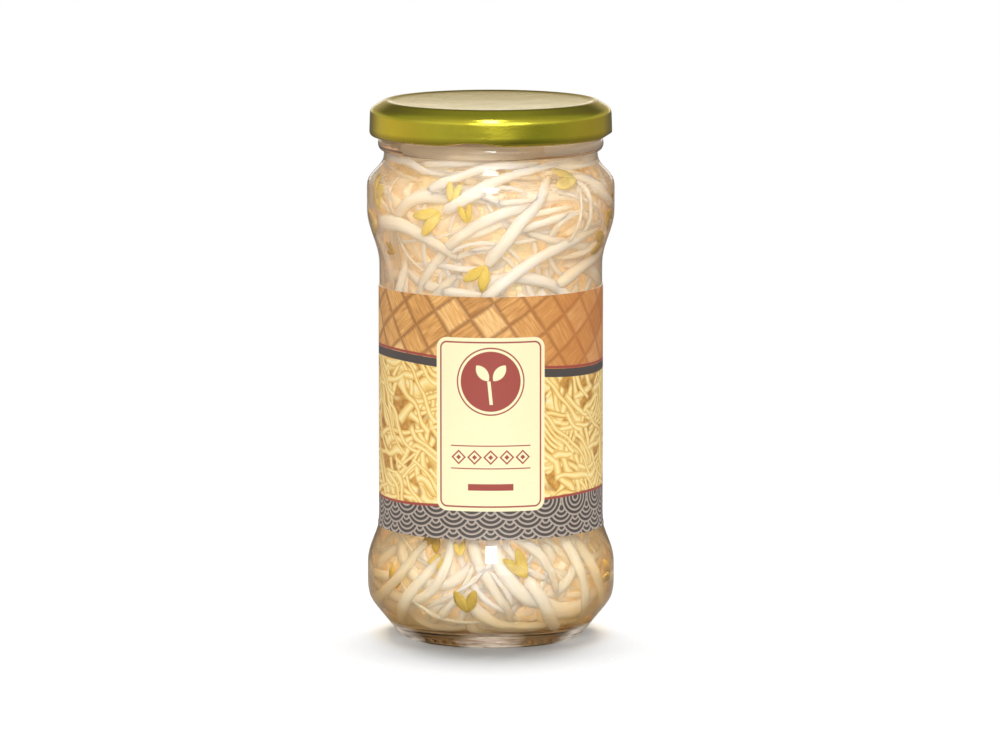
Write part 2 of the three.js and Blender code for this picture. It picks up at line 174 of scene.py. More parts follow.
def spaced(profile, spacing):
    reach = reach_of(profile)
    wanted = np.linspace(0, reach[-1], max(int(math.ceil(reach[-1] / spacing)), 1) + 1)
    return np.stack([np.interp(wanted, reach, profile[:, i]) for i in (0, 1)], 1)


def rounded(profile, spacing=0.5, passes=4):
    """The profile with its corners worn round, as in moulded glass."""
    points = spaced(profile, spacing)
    for _ in range(passes):
        points[1:-1] = points[1:-1] * 0.5 + (points[:-2] + points[2:]) * 0.25
    return points


def thinned(profile, slack=0.003, longest=5):
    """The profile without the points that a straight run doesn't need."""
    kept, start = [0], 0
    for end in range(2, len(profile)):
        run = profile[end] - profile[start]
        length = math.hypot(*run)
        skipped = profile[start + 1:end] - profile[start]
        off = np.abs(skipped[:, 0] * run[1] - skipped[:, 1] * run[0]) / length
        if off.max() > slack or length > longest:
            start = end - 1
            kept.append(start)
    return profile[[*kept, len(profile) - 1]]


def arc(centre, radius, start, end, steps):
    angles = np.radians(np.linspace(start, end, steps + 1))
    return np.stack([centre[0] + radius * np.cos(angles), centre[1] + radius * np.sin(angles)], 1)


def eased(share):
    """A share of the way from 0 to 1, with a soft start and end."""
    return share * share * (3 - share * 2)


def polar(radius, angle, height):
    """Points in space at a radius, an angle from the front and a height."""
    return np.stack([radius * np.sin(angle), -radius * np.cos(angle), height + 0 * angle], -1)


coarse_cavity = through([*INSIDE, MOUTH])
cavity = thinned(rounded(through([*INSIDE, MOUTH], 5), 0.6, 5))
outside = rounded(through([*PUSH_UP, *OUTSIDE], 5), 0.5, 4)
outside[:, 1] -= outside[:, 1].min()
outside = thinned(outside)
waist = outside[outside[:, 1] > 2]


# ---- Meshes ----

def linked(name, data):
    made = bpy.data.objects.new(name, data)
    bpy.context.scene.collection.objects.link(made)
    return made


def closed_smooth(mesh, sharp=35):
    """Joins shared points, turns the faces outwards and shades them smooth up to an angle."""
    work = bmesh.new()
    work.from_mesh(mesh)
    bmesh.ops.remove_doubles(work, verts=work.verts, dist=1e-7)
    bmesh.ops.recalc_face_normals(work, faces=work.faces)
    work.to_mesh(mesh)
    work.free()
    mesh.shade_smooth()
    mesh.set_sharp_from_angle(angle=math.radians(sharp))


def turned(name, profile, segments, shape=None, second=None, sharp=35):
    """A solid turned about the Z axis. Shape bends a ring of radii and heights by angle, and second
    says from a row's number and middle height whether its faces take the second material."""
    angles = np.arange(segments) * (math.tau / segments)
    rings = []
    for radius, height in profile:
        radii, heights = np.full(segments, radius), np.full(segments, height)
        if shape:
            radii, heights = shape(radii, heights, angles)
        rings.append(polar(radii, angles, heights))
    faces, kinds = [], []
    for row in range(len(profile) - 1):
        low, high = row * segments, (row + 1) * segments
        kind = int(bool(second and second(row, (profile[row][1] + profile[row + 1][1]) / 2)))
        for i in range(segments):
            j = (i + 1) % segments
            faces.append((low + i, low + j, high + j, high + i))
            kinds.append(kind)
    mesh = bpy.data.meshes.new(name)
    mesh.from_pydata((np.vstack(rings) * MM).tolist(), [], faces)
    mesh.polygons.foreach_set("material_index", kinds)
    closed_smooth(mesh, sharp)
    return linked(name, mesh)


# ---- Node trees ----

class Graph:
    """A node tree being built. A socket given as an input is joined, and anything else is set."""

    def __init__(self, tree):
        self.tree = tree
        tree.nodes.clear()

    def node(self, kind, inputs=None, **settings):
        """The outputs of a new node."""
        made = self.tree.nodes.new(kind)
        for name, value in settings.items():
            setattr(made, name, value)
        for name, value in (inputs or {}).items():
            self.give(made.inputs[name], value)
        return made.outputs

    def give(self, socket, value):
        value = getattr(value, "socket", value)
        if isinstance(value, bpy.types.NodeSocket):
            self.tree.links.new(value, socket)
        elif hasattr(socket.default_value, "__len__") and len(socket.default_value) == 4:
            socket.default_value = (*value[:3], 1)
        else:
            socket.default_value = value

    def math(self, operation, *values):
        return Number(self, self.node("ShaderNodeMath", dict(enumerate(values)), operation=operation)[0])

    def noise(self, place, scale, detail=2, roughness=0.5, distortion=0):
        return Number(self, self.node("ShaderNodeTexNoise", {
            "Vector": place, "Scale": scale, "Detail": detail, "Roughness": roughness,
            "Distortion": distortion,
        })["Fac"])

    def blend(self, factor, low, high, kind="MIX"):
        return self.node("ShaderNodeMix", {0: factor, 6: low, 7: high}, data_type="RGBA", blend_type=kind)[2]

    def ramp(self, value, *stops):
        """A colour for each place on a scale from 0 to 1. A tone that is one number is a grey."""
        colour = self.node("ShaderNodeValToRGB", {"Fac": value})["Color"]
        steps = colour.node.color_ramp.elements
        while len(steps) < len(stops):
            steps.new(0.5)
        for step, (place, tone) in zip(steps, stops):
            step.position = place
            step.color = (*(tone if isinstance(tone, tuple) else (tone,) * 3), 1)
        return colour

    def combine(self, x, y, z=0.0):
        return self.node("ShaderNodeCombineXYZ", {0: x, 1: y, 2: z})[0]

    def split(self, vector):
        return [Number(self, socket) for socket in self.node("ShaderNodeSeparateXYZ", {0: vector})]

    def object_place(self, scale=(1, 1, 1)):
        """Object coordinates, times a scale, so 1000 counts in millimetres."""
        place = self.node("ShaderNodeTexCoord")["Object"]
        return self.node("ShaderNodeMapping", {"Vector": place, "Scale": scale})[0]

    def bump(self, height, strength, distance):
        return self.node("ShaderNodeBump", {"Height": height, "Strength": strength, "Distance": distance})[0]

    def group(self, tree, **inputs):
        """The one output of a group, as a number."""
        return Number(self, self.node("ShaderNodeGroup", inputs, node_tree=tree)[0])


class Number:
    """A number that varies over the surface, so that a pattern reads as arithmetic."""

    def __init__(self, graph, socket):
        self.graph, self.socket = graph, socket

    def math(self, operation, *others):
        return self.graph.math(operation, self, *others)

    def __add__(self, other):
        return self.math("ADD", other)

    def __sub__(self, other):
        return self.math("SUBTRACT", other)

    def __rsub__(self, other):
        return self.graph.math("SUBTRACT", other, self)

    def __mul__(self, other):
        return self.math("MULTIPLY", other)

    def __truediv__(self, other):
        return self.math("DIVIDE", other)

    def size(self):
        return self.math("ABSOLUTE")

    def part(self):
        return self.math("FRACT")

    def whole(self):
        return self.math("FLOOR")

    def under(self, edge, soft=CRISP):
        """1 below the edge and 0 above it, over a soft step."""
        return ((edge - self) / soft + 0.5).math("MAXIMUM", 0).math("MINIMUM", 1)

    def over(self, edge, soft=CRISP):
        return 1 - self.under(edge, soft)

    def near(self, middle, half, soft=CRISP):
        """1 within a half width of the middle and 0 beyond it, over a soft step."""
        return (self - middle).size().under(half, soft)

    def both(self, other):
        return self * other

    def either(self, other):
        return self.math("MAXIMUM", other)


def length_of(x, y):
    return (x * x + y * y).math("SQRT")


def new_group(name, inputs, output, kind="Geometry"):
    """A node group with these named sockets: its graph, and what it is given."""
    tree = bpy.data.node_groups.new(name, f"{kind}NodeTree")
    for label, value_kind, value in inputs:
        socket = tree.interface.new_socket(name=label, in_out="INPUT", socket_type=f"NodeSocket{value_kind}")
        if value is not None:
            socket.default_value = value
    label, value_kind = output
    tree.interface.new_socket(name=label, in_out="OUTPUT", socket_type=f"NodeSocket{value_kind}")
    graph = Graph(tree)
    return graph, graph.node("NodeGroupInput")


def mottle_group():
    """Soft cloudy unevenness at two sizes, for plant flesh, paper, rubber and lacquer."""
    inputs = [("Place", "Vector", None), ("Size", "Float", 200.0)]
    graph, given = new_group("cloudy_mottle", inputs, ("Factor", "Float"), "Shader")
    size = Number(graph, given["Size"])
    broad = graph.noise(given["Place"], size, 2)
    fine = graph.noise(given["Place"], size * 4.7, 3, 0.6)
    graph.node("NodeGroupOutput", {"Factor": broad * 0.65 + fine * 0.35})
    return graph.tree


def waviness_group():
    """The slow waviness of a blown or lacquered surface, as a height."""
    inputs = [("Size", "Float", 60.0), ("Pebble", "Float", 0.15)]
    graph, given = new_group("surface_waviness", inputs, ("Height", "Float"), "Shader")
    size = Number(graph, given["Size"])
    place = graph.object_place()
    slow = graph.noise(place, size, 1)
    pebbled = graph.noise(place, size * 18, 2) * given["Pebble"]
    graph.node("NodeGroupOutput", {"Height": slow + pebbled})
    return graph.tree


mottle = mottle_group()
waviness = waviness_group()


class Finish(Graph):
    """The graph of a new material."""

    def __init__(self, name):
        self.material = bpy.data.materials.new(name)
        self.material.use_nodes = True
        super().__init__(self.material.node_tree)

    def attribute(self, label):
        return Number(self, self.node("ShaderNodeAttribute", attribute_name=label)["Fac"])

    def cloud(self, size, place=None):
        return self.group(mottle, Place=place or self.object_place(), Size=size)

    def principled(self, **inputs):
        """The Principled shader's output. Names use _ for a space."""
        return self.node("ShaderNodeBsdfPrincipled", {
            name.replace("_", " "): value for name, value in inputs.items()
        })[0]

    def cut_through(self, share, surface, clear=WHITE):
        """The surface, with this share of it as clear as air."""
        air = self.node("ShaderNodeBsdfTransparent", {"Color": clear})[0]
        return self.node("ShaderNodeMixShader", {0: share, 1: surface, 2: air})[0]

    def shadowless(self, surface, clear=WHITE):
        """The surface, which light goes straight through on its way to what lies behind."""
        return self.cut_through(self.node("ShaderNodeLightPath")["Is Shadow Ray"], surface, clear)

    def ended(self, surface, body=None):
        """The material, with this surface and, where one is given, a body of a colour and density."""
        ends = {"Surface": surface}
        if body:
            colour, density = body
            ends["Volume"] = self.node("ShaderNodeVolumeAbsorption", {"Color": colour, "Density": density})[0]
        self.node("ShaderNodeOutputMaterial", ends)
        return self.material


# ---- Camera and light ----

CAMERA = Values(place=(2.52, -1900, 335), target=(2.52, 0, 71.9), lens=251.6, sensor=36)
FILL = (330, -2180, 640), (0, 0, 70), (2600, 900)  # the place, target and size that two lamps share
SOFTBOXES = [
    # name, place, target, size, watts, shape, whether it is mirrored, whether it lights matt surfaces
    ("front_softbox", (0, -1300, 840), (0, 0, 80), (260, 220), 7, "RECTANGLE", True, True),
    ("shoulder_glint", (0, -810, 1205), (0, 0, 128), (280, 560), 7, "RECTANGLE", True, False),
    ("broad_fill", *FILL, 11, "ELLIPSE", True, True),
    ("matt_fill", *FILL, 8.5, "ELLIPSE", False, True),
    ("overhead_softbox", (0, 170, 1250), (0, 0, 0), (360, 360), 42, "RECTANGLE", False, True),
]
STUDIO = Values(  # where one tone passes into another and how softly, and the bright band's own tone
    side=(0.05, 0.7), low=(0.04, 0.08), high=(0.32, 0.2), band=(0.05, 0.035, 0.03), band_back=(0.03, 0.04),
    band_light=(1.7, 1.7, 1.65),
)
FLOOR = Values(
    radius=600,
    fade=(0.2, 0.24),    # metres from the jar at which half the paper is gone, and the fade's width
    lift=(0.056, 0.07),  # the same for the white that the camera sees through it
    lift_share=0.7,
    narrower=1.8,        # how much nearer to the jar's sides than to its front that white comes
)


def aim(thing, place, target):
    thing.location = Vector(place) * MM
    thing.rotation_euler = (Vector(target) - Vector(place)).to_track_quat("-Z", "Y").to_euler()


def set_camera():
    data = bpy.data.cameras.new("camera")
    data.lens, data.sensor_width = CAMERA.lens, CAMERA.sensor
    camera = linked("camera", data)
    aim(camera, CAMERA.place, CAMERA.target)
    bpy.context.scene.camera = camera


def set_softboxes():
    for name, place, target, size, watts, shape, mirrored, lighting in SOFTBOXES:
        data = bpy.data.lights.new(name, "AREA")
        data.shape, data.energy = shape, watts
        data.size, data.size_y = size[0] * MM, size[1] * MM
        lamp = linked(name, data)
        lamp.visible_glossy, lamp.visible_diffuse = mirrored, lighting
        aim(lamp, place, target)


def set_world():
    """White behind the jar, and round it a pale studio that darkens to the sides and the back."""
    world = bpy.data.worlds.new("studio")
    world.use_nodes = True
    graph = Graph(world.node_tree)
    x, y, z = graph.split(graph.node("ShaderNodeTexCoord")["Generated"])
    front = 0.5 - y * 0.5

    # Tones from behind the jar (0), past its sides (0.5), to the camera's side (1).
    left = graph.ramp(front, (0.04, 0.16), (0.17, (0.66, 0.58, 0.58)), (0.34, (0.76, 0.64, 0.56)),
                      (0.58, (0.63, 0.55, 0.5)), (0.83, (0.54, 0.54, 0.5)), (0.96, 0.48), (1, 0.42))
    right = graph.ramp(front, (0.04, 0.16), (0.15, (0.38, 0.34, 0.36)), (0.34, (0.41, 0.35, 0.34)),
                       (0.58, (0.41, 0.38, 0.36)), (0.83, (0.22, 0.25, 0.2)), (0.96, 0.17), (1, 0.28))
    level = graph.ramp(front, (0, (0.46, 0.42, 0.35)), (0.15, 0.55), (0.5, 0.5), (0.75, 0.8), (1, 1))
    high = graph.ramp(front, (0, 0.08), (0.2, 0.2), (0.36, (0.36, 0.4, 0.34)), (0.5, 0.4), (1, 0.8))
    low = graph.blend(x.over(*STUDIO.side), left, right)
    glow = graph.blend(z.over(*STUDIO.low), low, level)
    band = z.near(*STUDIO.band).both(front.under(*STUDIO.band_back))
    glow = graph.blend(band, glow, STUDIO.band_light)
    glow = graph.blend(z.over(*STUDIO.high), glow, high)
    seen = graph.node("ShaderNodeLightPath")["Is Camera Ray"]
    colour = graph.blend(seen, glow, WHITE)
    shine = graph.node("ShaderNodeBackground", {"Color": colour, "Strength": 1.0})[0]
    graph.node("ShaderNodeOutputWorld", {"Surface": shine})
    bpy.context.scene.world = world


def white_floor():
    """A disc of pale paper that fades into the white behind, sooner where the camera sees it."""
    mesh = bpy.data.meshes.new("floor")
    work = bmesh.new()
    bmesh.ops.create_circle(work, cap_ends=True, radius=FLOOR.radius * MM, segments=96)
    work.to_mesh(mesh)
    work.free()
    graph = Finish("floor_white")
    path = graph.node("ShaderNodeLightPath")
    colour = graph.ramp(graph.noise(graph.object_place(), 9, 3), (0, 0.4), (1, 0.42))
    # Painted shade: the floor is darker where it is seen in reflections.
    colour = graph.blend(path["Is Glossy Ray"], colour, (0.14, 0.13, 0.12))
    paper = graph.principled(Base_Color=colour, Roughness=0.9, Specular_IOR_Level=0.1)
    x, y, _ = graph.split(graph.object_place())
    outwards = length_of(x * FLOOR.narrower, y).over(*FLOOR.lift)
    lift = eased(outwards) * FLOOR.lift_share * path["Is Camera Ray"]
    faded = length_of(x, y).over(*FLOOR.fade).either(lift)
    mesh.materials.append(graph.ended(graph.cut_through(faded, paper)))
    floor = linked("floor", mesh)


# ---- Glass jar ----

# Heights and radii of what the mould leaves on the glass, and of the streaks on its foot, which are partly
# mould marks and partly painted light.
HEEL_TOP = 36
SHOULDER = (124, 133.2)
NECK_FROM = 133.6
KNURL = Values(ticks=56, top=2.1, inner=22.4)
MOULD_AND_PAINTED_STREAKS = Values(count=5.8, top=4.4, inner=23)
RIPPLE = Values(rate=7.5, sway=5, height=0.07)
AMBER = ((0.8, 0.66, 0.46), 50.0)  # colour and density
CLEAR = (0.99, 0.995, 0.98)


def thread_rise(radii, heights, angles):
    """The four sloped ribs on the neck that the lid's lugs run under."""
    degrees = np.degrees(angles)
    rise = np.zeros_like(radii)
    for i in range(THREAD.count):
        start = LUG.angle + 360 / THREAD.count * i - LUG.half_width * 0.7
        turn = np.mod(degrees - start, 360)
        middle = THREAD.bottom + THREAD.lead * turn / 360 + THREAD.height / 2
        across = np.clip(1.25 - np.abs(heights - middle) / (THREAD.height * 0.42), 0, 1)
        ends = np.clip(np.minimum(turn, THREAD.span - turn) / 6, 0, 1)
        rise = np.maximum(rise, eased(across) * ends * (turn < THREAD.span))
    return radii + rise * (THREAD.crest - NECK.wall) * (radii > NECK.wall - 0.3), heights


def jar_profile():
    """The jar's whole section, outside first, and how many of its points are the inside's."""
    bead_arc = arc((0, 0), 1, -68, 68, 12)
    bead = np.stack([
        NECK.wall + (BEAD.radius - NECK.wall) * bead_arc[:, 0],
        BEAD.height + BEAD.half * bead_arc[:, 1],
    ], 1)
    wall_top = NECK.rim - NECK.round
    wall = spaced(np.array([[NECK.wall, NECK.wall_bottom], [NECK.wall, wall_top]]), 0.2)
    outer_round = arc((NECK.wall - NECK.round, wall_top), NECK.round, 8, 90, 7)
    inner_round = arc((MOUTH[0] + NECK.round, wall_top), NECK.round, 90, 172, 7)
    return np.vstack([outside, bead, wall, outer_round, inner_round, cavity[::-1]]), len(cavity)


def wavy_glass(name):
    graph = Finish(name)
    return graph, graph.group(waviness, Size=34.0, Pebble=0.02) * 0.4


def outer_glass():
    """Clear glass with ripples on the shoulder, and a knurl on the ring it stands on. Light and dark streaks
    on that ring stand partly for mould marks and partly for painted reflection of what the thick base
    refracts, and the light ones carry a faint painted glow. A faint amber body starts at the outer face and
    so fills the wall, the thick base and the brine behind them. It is deeper where the glass is seen edge-on,
    and most of all in the thick heel."""
    graph, height = wavy_glass("jar_glass")
    x, y, z = graph.split(graph.object_place((1000, 1000, 1000)))
    angle, radius = x.math("ARCTAN2", y * -1), length_of(x, y)
    ticks = (angle * KNURL.ticks).math("SINE").over(0.1, 1.2)
    knurled = z.under(KNURL.top, 0.5).both(radius.over(KNURL.inner, 0.6))
    height = height + ticks.both(knurled) * 0.35
    sway = graph.noise(graph.combine(angle * 2.5, z * 0.15), 1.0, 1)
    shoulder = z.over(SHOULDER[0], 2).both(z.under(SHOULDER[1], 1.5))
    height = height + (z * RIPPLE.rate + sway * RIPPLE.sway).math("SINE") * shoulder * RIPPLE.height

    edge_on = graph.node("ShaderNodeLayerWeight", {"Blend": 0.5})["Facing"]
    wall = graph.ramp(edge_on, (0, 1), (0.28, (0.97, 0.88, 0.74)), (0.5, (0.83, 0.71, 0.54)),
                      (0.84, (0.6, 0.42, 0.25)))
    heel = graph.ramp(edge_on, (0, 1), (0.26, (0.9, 0.79, 0.52)), (0.57, (0.55, 0.34, 0.1)),
                      (0.85, (0.34, 0.18, 0.04)))
    colour = graph.blend(z.under(HEEL_TOP, 10), wall, heel)
    colour = graph.blend(z.over(NECK_FROM, 1.2), colour, (0.84, 0.68, 0.5))

    wander = graph.noise(graph.combine(angle * 1.7, z * 0.2), 1.0, 2)
    fine = graph.noise(graph.combine(angle * 3.5, z * 1.3), 1.0, 2)
    # The foot's streaks: partly mould marks, and partly painted reflection, light and dark, of what the thick
    # base refracts.
    lines = (angle * MOULD_AND_PAINTED_STREAKS.count + wander * 3 - 1.5).math("COSINE").over(0.2, 1.2)
    painted_streak = lines.both(fine.over(0.5, 0.5))
    foot = z.under(MOULD_AND_PAINTED_STREAKS.top, 1.8).both(radius.over(MOULD_AND_PAINTED_STREAKS.inner, 1))
    colour = graph.blend(foot, colour, graph.blend(painted_streak, (0.42, 0.38, 0.3), (0.97, 0.97, 0.94)))
    # A painted glow in the light streaks, standing in for light that the thick base gathers.
    painted_glow = graph.blend(painted_streak.both(foot), (0, 0, 0), (0.9, 0.87, 0.8))
    surface = graph.principled(
        Base_Color=colour, Roughness=0.015, IOR=1.5, Transmission_Weight=1.0, Emission_Color=painted_glow,
        Emission_Strength=0.6, Normal=graph.bump(height, 0.5, 0.0004),
    )
    return graph.ended(graph.shadowless(surface, CLEAR), AMBER)


def wet_glass():
    """The glass's inner face where brine lies against it, which bends light only a little."""
    graph, height = wavy_glass("jar_glass_wet")
    surface = graph.principled(
        Base_Color=WHITE, Roughness=0.015, IOR=1.125, Transmission_Weight=1.0,
        Normal=graph.bump(height, 0.5, 0.0004),
    )
    return graph.ended(graph.shadowless(surface, CLEAR))


def make_glass_jar():
    profile, inner_rows = jar_profile()
    first_inner = len(profile) - inner_rows

    def wet(row, height):
        return row >= first_inner and height < BRINE_LEVEL

    jar = turned("clear_glass_jar", profile, 180, thread_rise, wet, sharp=50)
    for finish in (outer_glass(), wet_glass()):
        jar.data.materials.append(finish)
    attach(jar, "jar")
    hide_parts("glass_jar")


# ---- Brine ----

BRINE_BODY = ((0.97, 0.84, 0.58), 25.0)  # colour and density


def make_brine():
    """Fills the jar up to just off the glass, so that what is seen through it is tinted."""
    side = cut_at(inset(cavity, 0.05), BRINE_LEVEL)
    edge, level = side[-1][0], BRINE_LEVEL - 0.35
    profile = np.vstack([side, [[edge - 0.5, BRINE_LEVEL - 0.25], [edge - 1.6, level], [0, level]]])
    top_row = len(side) - 1

    def surface(row, _):
        return row >= top_row

    brine = turned("pale_brine", profile, 120, second=surface, sharp=50)
    for name, ior in (("brine_against_glass", 1.0), ("brine_surface", 1.33)):
        graph = Finish(name)
        clear = graph.principled(Base_Color=WHITE, Roughness=0.0, IOR=ior, Transmission_Weight=1.0)
        brine.data.materials.append(graph.ended(graph.shadowless(clear), BRINE_BODY))
    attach(brine, "jar")
    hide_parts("brine")


# ---- Sprouts: the stems of the part's source ----

class Stream:
    """A repeatable stream of numbers, the same one that the part's source draws from."""

    def __init__(self, seed):
        self.state = seed

    def draw(self):
        self.state = (self.state * 1664525 + 1013904223) % 4294967296
        return self.state / 4294967296

    def between(self, low, high):
        return low + (high - low) * self.draw()


def stem_path(stem, profile, reach, total):
    """The middle line of a stem at seven points, as the part's source works it out."""
    rows = []
    stride = stem.length / STEMS.steps
    for way in (1, -1):
        angle, distance, heading = stem.angle, stem.distance, stem.heading
        for i in range(STEMS.steps // 2 + 1):
            along = i * stride * way
            wave = 0.5 + 0.5 * math.sin(stem.phase + along * stem.ripple)
            rooted = max(0.5 + along / stem.length, 0) ** 4
            radius = np.interp(distance, reach, profile[:, 0])
            depth = stem.sink * wave * (1 - rooted) + STEMS.root_depth * rooted
            row = (radius - depth, angle, np.interp(distance, reach, profile[:, 1]))
            if way > 0:
                rows.append(row)
            elif i > 0:
                rows.insert(0, row)
            heading += stem.bend * stride * way
            limited = min(max(distance + math.sin(heading) * stride * way, STEMS.lowest), total)
            across = math.sqrt(max(stride * stride - (limited - distance) ** 2, 0))
            angle += math.copysign(way * across, way * math.cos(heading)) / max(radius, STEMS.axis)
            distance = limited
    return polar(*np.array(rows).T)


def random_stem(stream, profile, reach, total):
    last = STEMS.zones[-1]
    zone = next(zone for zone in STEMS.zones if zone is last or stream.between(0, 1) < zone[0])
    stem = Values(
        distance=stream.between(zone[1], min(zone[2], total)),
        angle=stream.between(0, math.tau),
        heading=stream.between(-STEMS.steepest, STEMS.steepest),
        length=stream.between(STEMS.shortest, STEMS.longest),
        width=stream.between(STEMS.thin, STEMS.thick),
        bend=stream.between(-STEMS.bend, STEMS.bend),
        phase=stream.between(0, math.tau),
        ripple=stream.between(*STEMS.ripple),
        sink=stream.between(*STEMS.sink),
    )
    stem.points = stem_path(stem, profile, reach, total)
    return stem


def source_stems():
    """The stems of the part's source, in its order: one that would run through another isn't kept."""
    stream = Stream(STEMS.seed)
    widest = inset(cut_at(coarse_cavity, BUNCH_TOP), STEMS.contents_gap + STEMS.thick / 2)
    reach = reach_of(widest)
    total = reach[-1] - STEMS.thick
    steps = np.array([0, 0.33, 0.67])[None, :, None]
    tests = STEMS.steps * steps.size
    kept, samples, widths = [], np.zeros((0, tests, 3)), np.zeros(0)
    for _ in range(STEMS.tries):
        stem = random_stem(stream, widest, reach, total)
        points = stem.points
        tested = (points[:-1, None] * (1 - steps) + points[1:, None] * steps).reshape(-1, 3)
        middle = tests // 2
        near = np.linalg.norm(samples[:, middle] - tested[middle], axis=1) < STEMS.longest + 8
        gaps = np.linalg.norm(samples[near][:, :, None] - tested[None, None], axis=3)
        least = (widths[near] + stem.width) / 2 + STEMS.clear
        if (gaps > least[:, None, None]).all():
            kept.append(stem)
            samples = np.concatenate([samples, tested[None]])
            widths = np.append(widths, stem.width)
    return kept


def stems_with_heads(stems):
    """The stems whose seed leaves lie in one of the bands and well apart from those before."""
    kept = []
    for stem in stems:
        end = stem.points[0]
        in_band = any(low < end[2] < high for low, high in HEADS.bands)
        if in_band and all(np.linalg.norm(other.points[0] - end) > HEADS.apart for other in kept):
            kept.append(stem)
    return kept


# ---- Sprouts: strands laid one under another against the glass ----

class Wall:
    """The inside of the glass as a map of cells, which remembers how deep the sprouts laid so far reach."""

    def __init__(self):
        self.profile = spaced(inset(cut_at(cavity, BUNCH_TOP), STRANDS.contact), WALL_MAP.row)
        self.reach = reach_of(self.profile)
        self.inwards = inwards_from(self.profile)
        angles = np.arange(WALL_MAP.columns) * (math.tau / WALL_MAP.columns)
        self.cells = polar(self.profile[:, 0, None], angles[None], self.profile[:, 1, None])
        self.depth = np.zeros(self.cells.shape[:2])

    def place(self, angle, distance, depth):
        """The points at these angles, distances up the wall and depths behind the glass."""
        radius, height, inward_radius, inward_height = (
            np.interp(distance, self.reach, values)
            for values in (*self.profile.T, *self.inwards.T)
        )
        return polar(np.maximum(radius + inward_radius * depth, 0.3), angle, height + inward_height * depth)

    def locate(self, points):
        """The angle, distance up the wall and depth of points inside the jar."""
        radius = np.hypot(points[:, 0], points[:, 1])
        offset = np.stack([radius, points[:, 2]], 1)[:, None] - self.profile[None]
        gaps = np.linalg.norm(offset, axis=2)
        nearest = gaps.argmin(1)
        return np.arctan2(points[:, 0], -points[:, 1]), self.reach[nearest], gaps.min(1)

    def footprint(self, angle, distance, half):
        """For each point of a strand: the rows it may touch, its thickness there, and the cells it covers."""
        spots = self.place(angle, distance, 0)
        for spot, far, wide in zip(spots, distance, half * STRANDS.nestle):
            span = wide + STRANDS.margin
            low, high = np.searchsorted(self.reach, (far - span, far + span))
            rows = slice(low, max(high, low + 1))
            gap = np.linalg.norm(self.cells[rows] - spot, axis=2)
            yield rows, np.sqrt(np.maximum(wide * wide - gap * gap, 0)) * STRANDS.flat, gap < wide

    def needed(self, angle, distance, half):
        """How deep a strand's middle lies to pass under everything laid before it."""
        return np.array([
            np.where(inside, self.depth[rows] + thick, 0).max()
            for rows, thick, inside in self.footprint(angle, distance, half)
        ])

    def lay(self, angle, distance, half, middle):
        for (rows, thick, inside), depth in zip(self.footprint(angle, distance, half), middle):
            self.depth[rows] = np.where(inside, np.maximum(self.depth[rows], depth + thick), self.depth[rows])


def eased_over(needed, passes=9):
    """The depths of a limp strand that lies behind each obstacle and bends softly between them."""
    middle = needed.copy()
    for _ in range(passes):
        padded = np.concatenate([middle[:1], middle, middle[-1:]])
        middle = np.maximum(needed, (padded[:-2] + padded[2:]) / 2)
    return middle


def spline(points, count):
    """This many points on a smooth curve through rows of numbers, as many between each two rows."""
    padded = np.vstack([2 * points[0] - points[1], points, 2 * points[-1] - points[-2]])
    places = np.linspace(0, len(points) - 1, count)
    i = np.minimum(places.astype(int), len(points) - 2)
    t = (places - i)[:, None]
    a, b, c, d = (padded[i + k] for k in range(4))
    return 0.5 * (2 * b + (c - a) * t + (2 * a - 5 * b + 4 * c - d) * t**2 + (3 * b - a - 3 * c + d) * t**3)


def drifting_path(rng, wall, zone, length, bend):
    """A path over the wall whose heading turns slowly, and for some in a loop, as a cooked stem lies."""
    count = max(int(length / STRANDS.stride), 5)
    loop = bend * rng.choice([-1, 1]) * rng.uniform(0.2, 1.6) ** 1.5
    turn = np.full(count, loop) + rng.uniform(-bend, bend) * np.linspace(-1, 1, count)
    turn += rng.uniform(-0.03, 0.03) * np.sin(np.linspace(0, rng.uniform(3, 9), count))
    heading = rng.uniform(0, math.tau) + np.cumsum(turn) * STRANDS.stride
    distance = rng.uniform(*zone) + np.cumsum(np.sin(heading)) * STRANDS.stride
    distance = np.clip(distance, 5, wall.reach[-1] - 2)
    radius = np.interp(distance, wall.reach, wall.profile[:, 0])
    angle = rng.uniform(0, math.tau) + np.cumsum(np.cos(heading) * STRANDS.stride / np.maximum(radius, 6))
    return angle, distance


class Bunch:
    """The strands laid so far, each a path with its thickness and tint."""

    def __init__(self):
        self.wall = Wall()
        self.layers = {"near": [], "deep": [], "inner": []}

    def add(self, layer, angle, distance, half, middle, tint, root):
        """Lays a strand on the wall, its two ends sunk in towards the core."""
        share = np.linspace(0, 1, len(angle))
        self.wall.lay(angle, distance, half, middle)
        depth = middle + root * (share**5 + 0.6 * (1 - share) ** 7)
        self.keep(layer, angle, distance, half, depth, tint)

    def keep(self, layer, angle, distance, half, depth, tint):
        share = np.linspace(0, 1, len(angle))
        points = self.wall.place(angle, distance, depth)
        self.layers[layer].append((points, half, share, np.full(len(share), tint)))


def strand_halves(width, count, thin_root):
    """Half widths along a strand: full through the middle, thinner towards the root end."""
    share = np.linspace(0, 1, count)
    swell = 1 - thin_root * share**2.2
    ends = np.minimum(np.minimum(share, 1 - share) * count / 1.6 + 0.1, 1)
    return width / 2 * swell * np.sqrt(ends)


def lay_source_stems(bunch, stems, rng):
    """The source's stems, smoothed and moved out until they press on the glass."""
    located = []
    for stem in stems:
        angle, distance, depth = bunch.wall.locate(stem.points)
        count = int(stem.length / STRANDS.stride)
        path = spline(np.stack([np.unwrap(angle), distance, depth], 1), count)
        located.append((depth.mean(), stem.width, path))
    for _, width, path in sorted(located, key=lambda row: row[0]):
        angle, distance, depth = path.T
        half = strand_halves(width, len(angle), 0.5)
        needed = bunch.wall.needed(angle, distance, half)
        share = np.linspace(0, 1, len(angle))
        own = (depth - STEMS.contents_gap - 1.1) * (1 - share**4)
        middle = eased_over(np.maximum(needed, np.minimum(own, 6)))
        bunch.add("near", angle, distance, half, middle, rng.uniform(0, 1), 3.0)


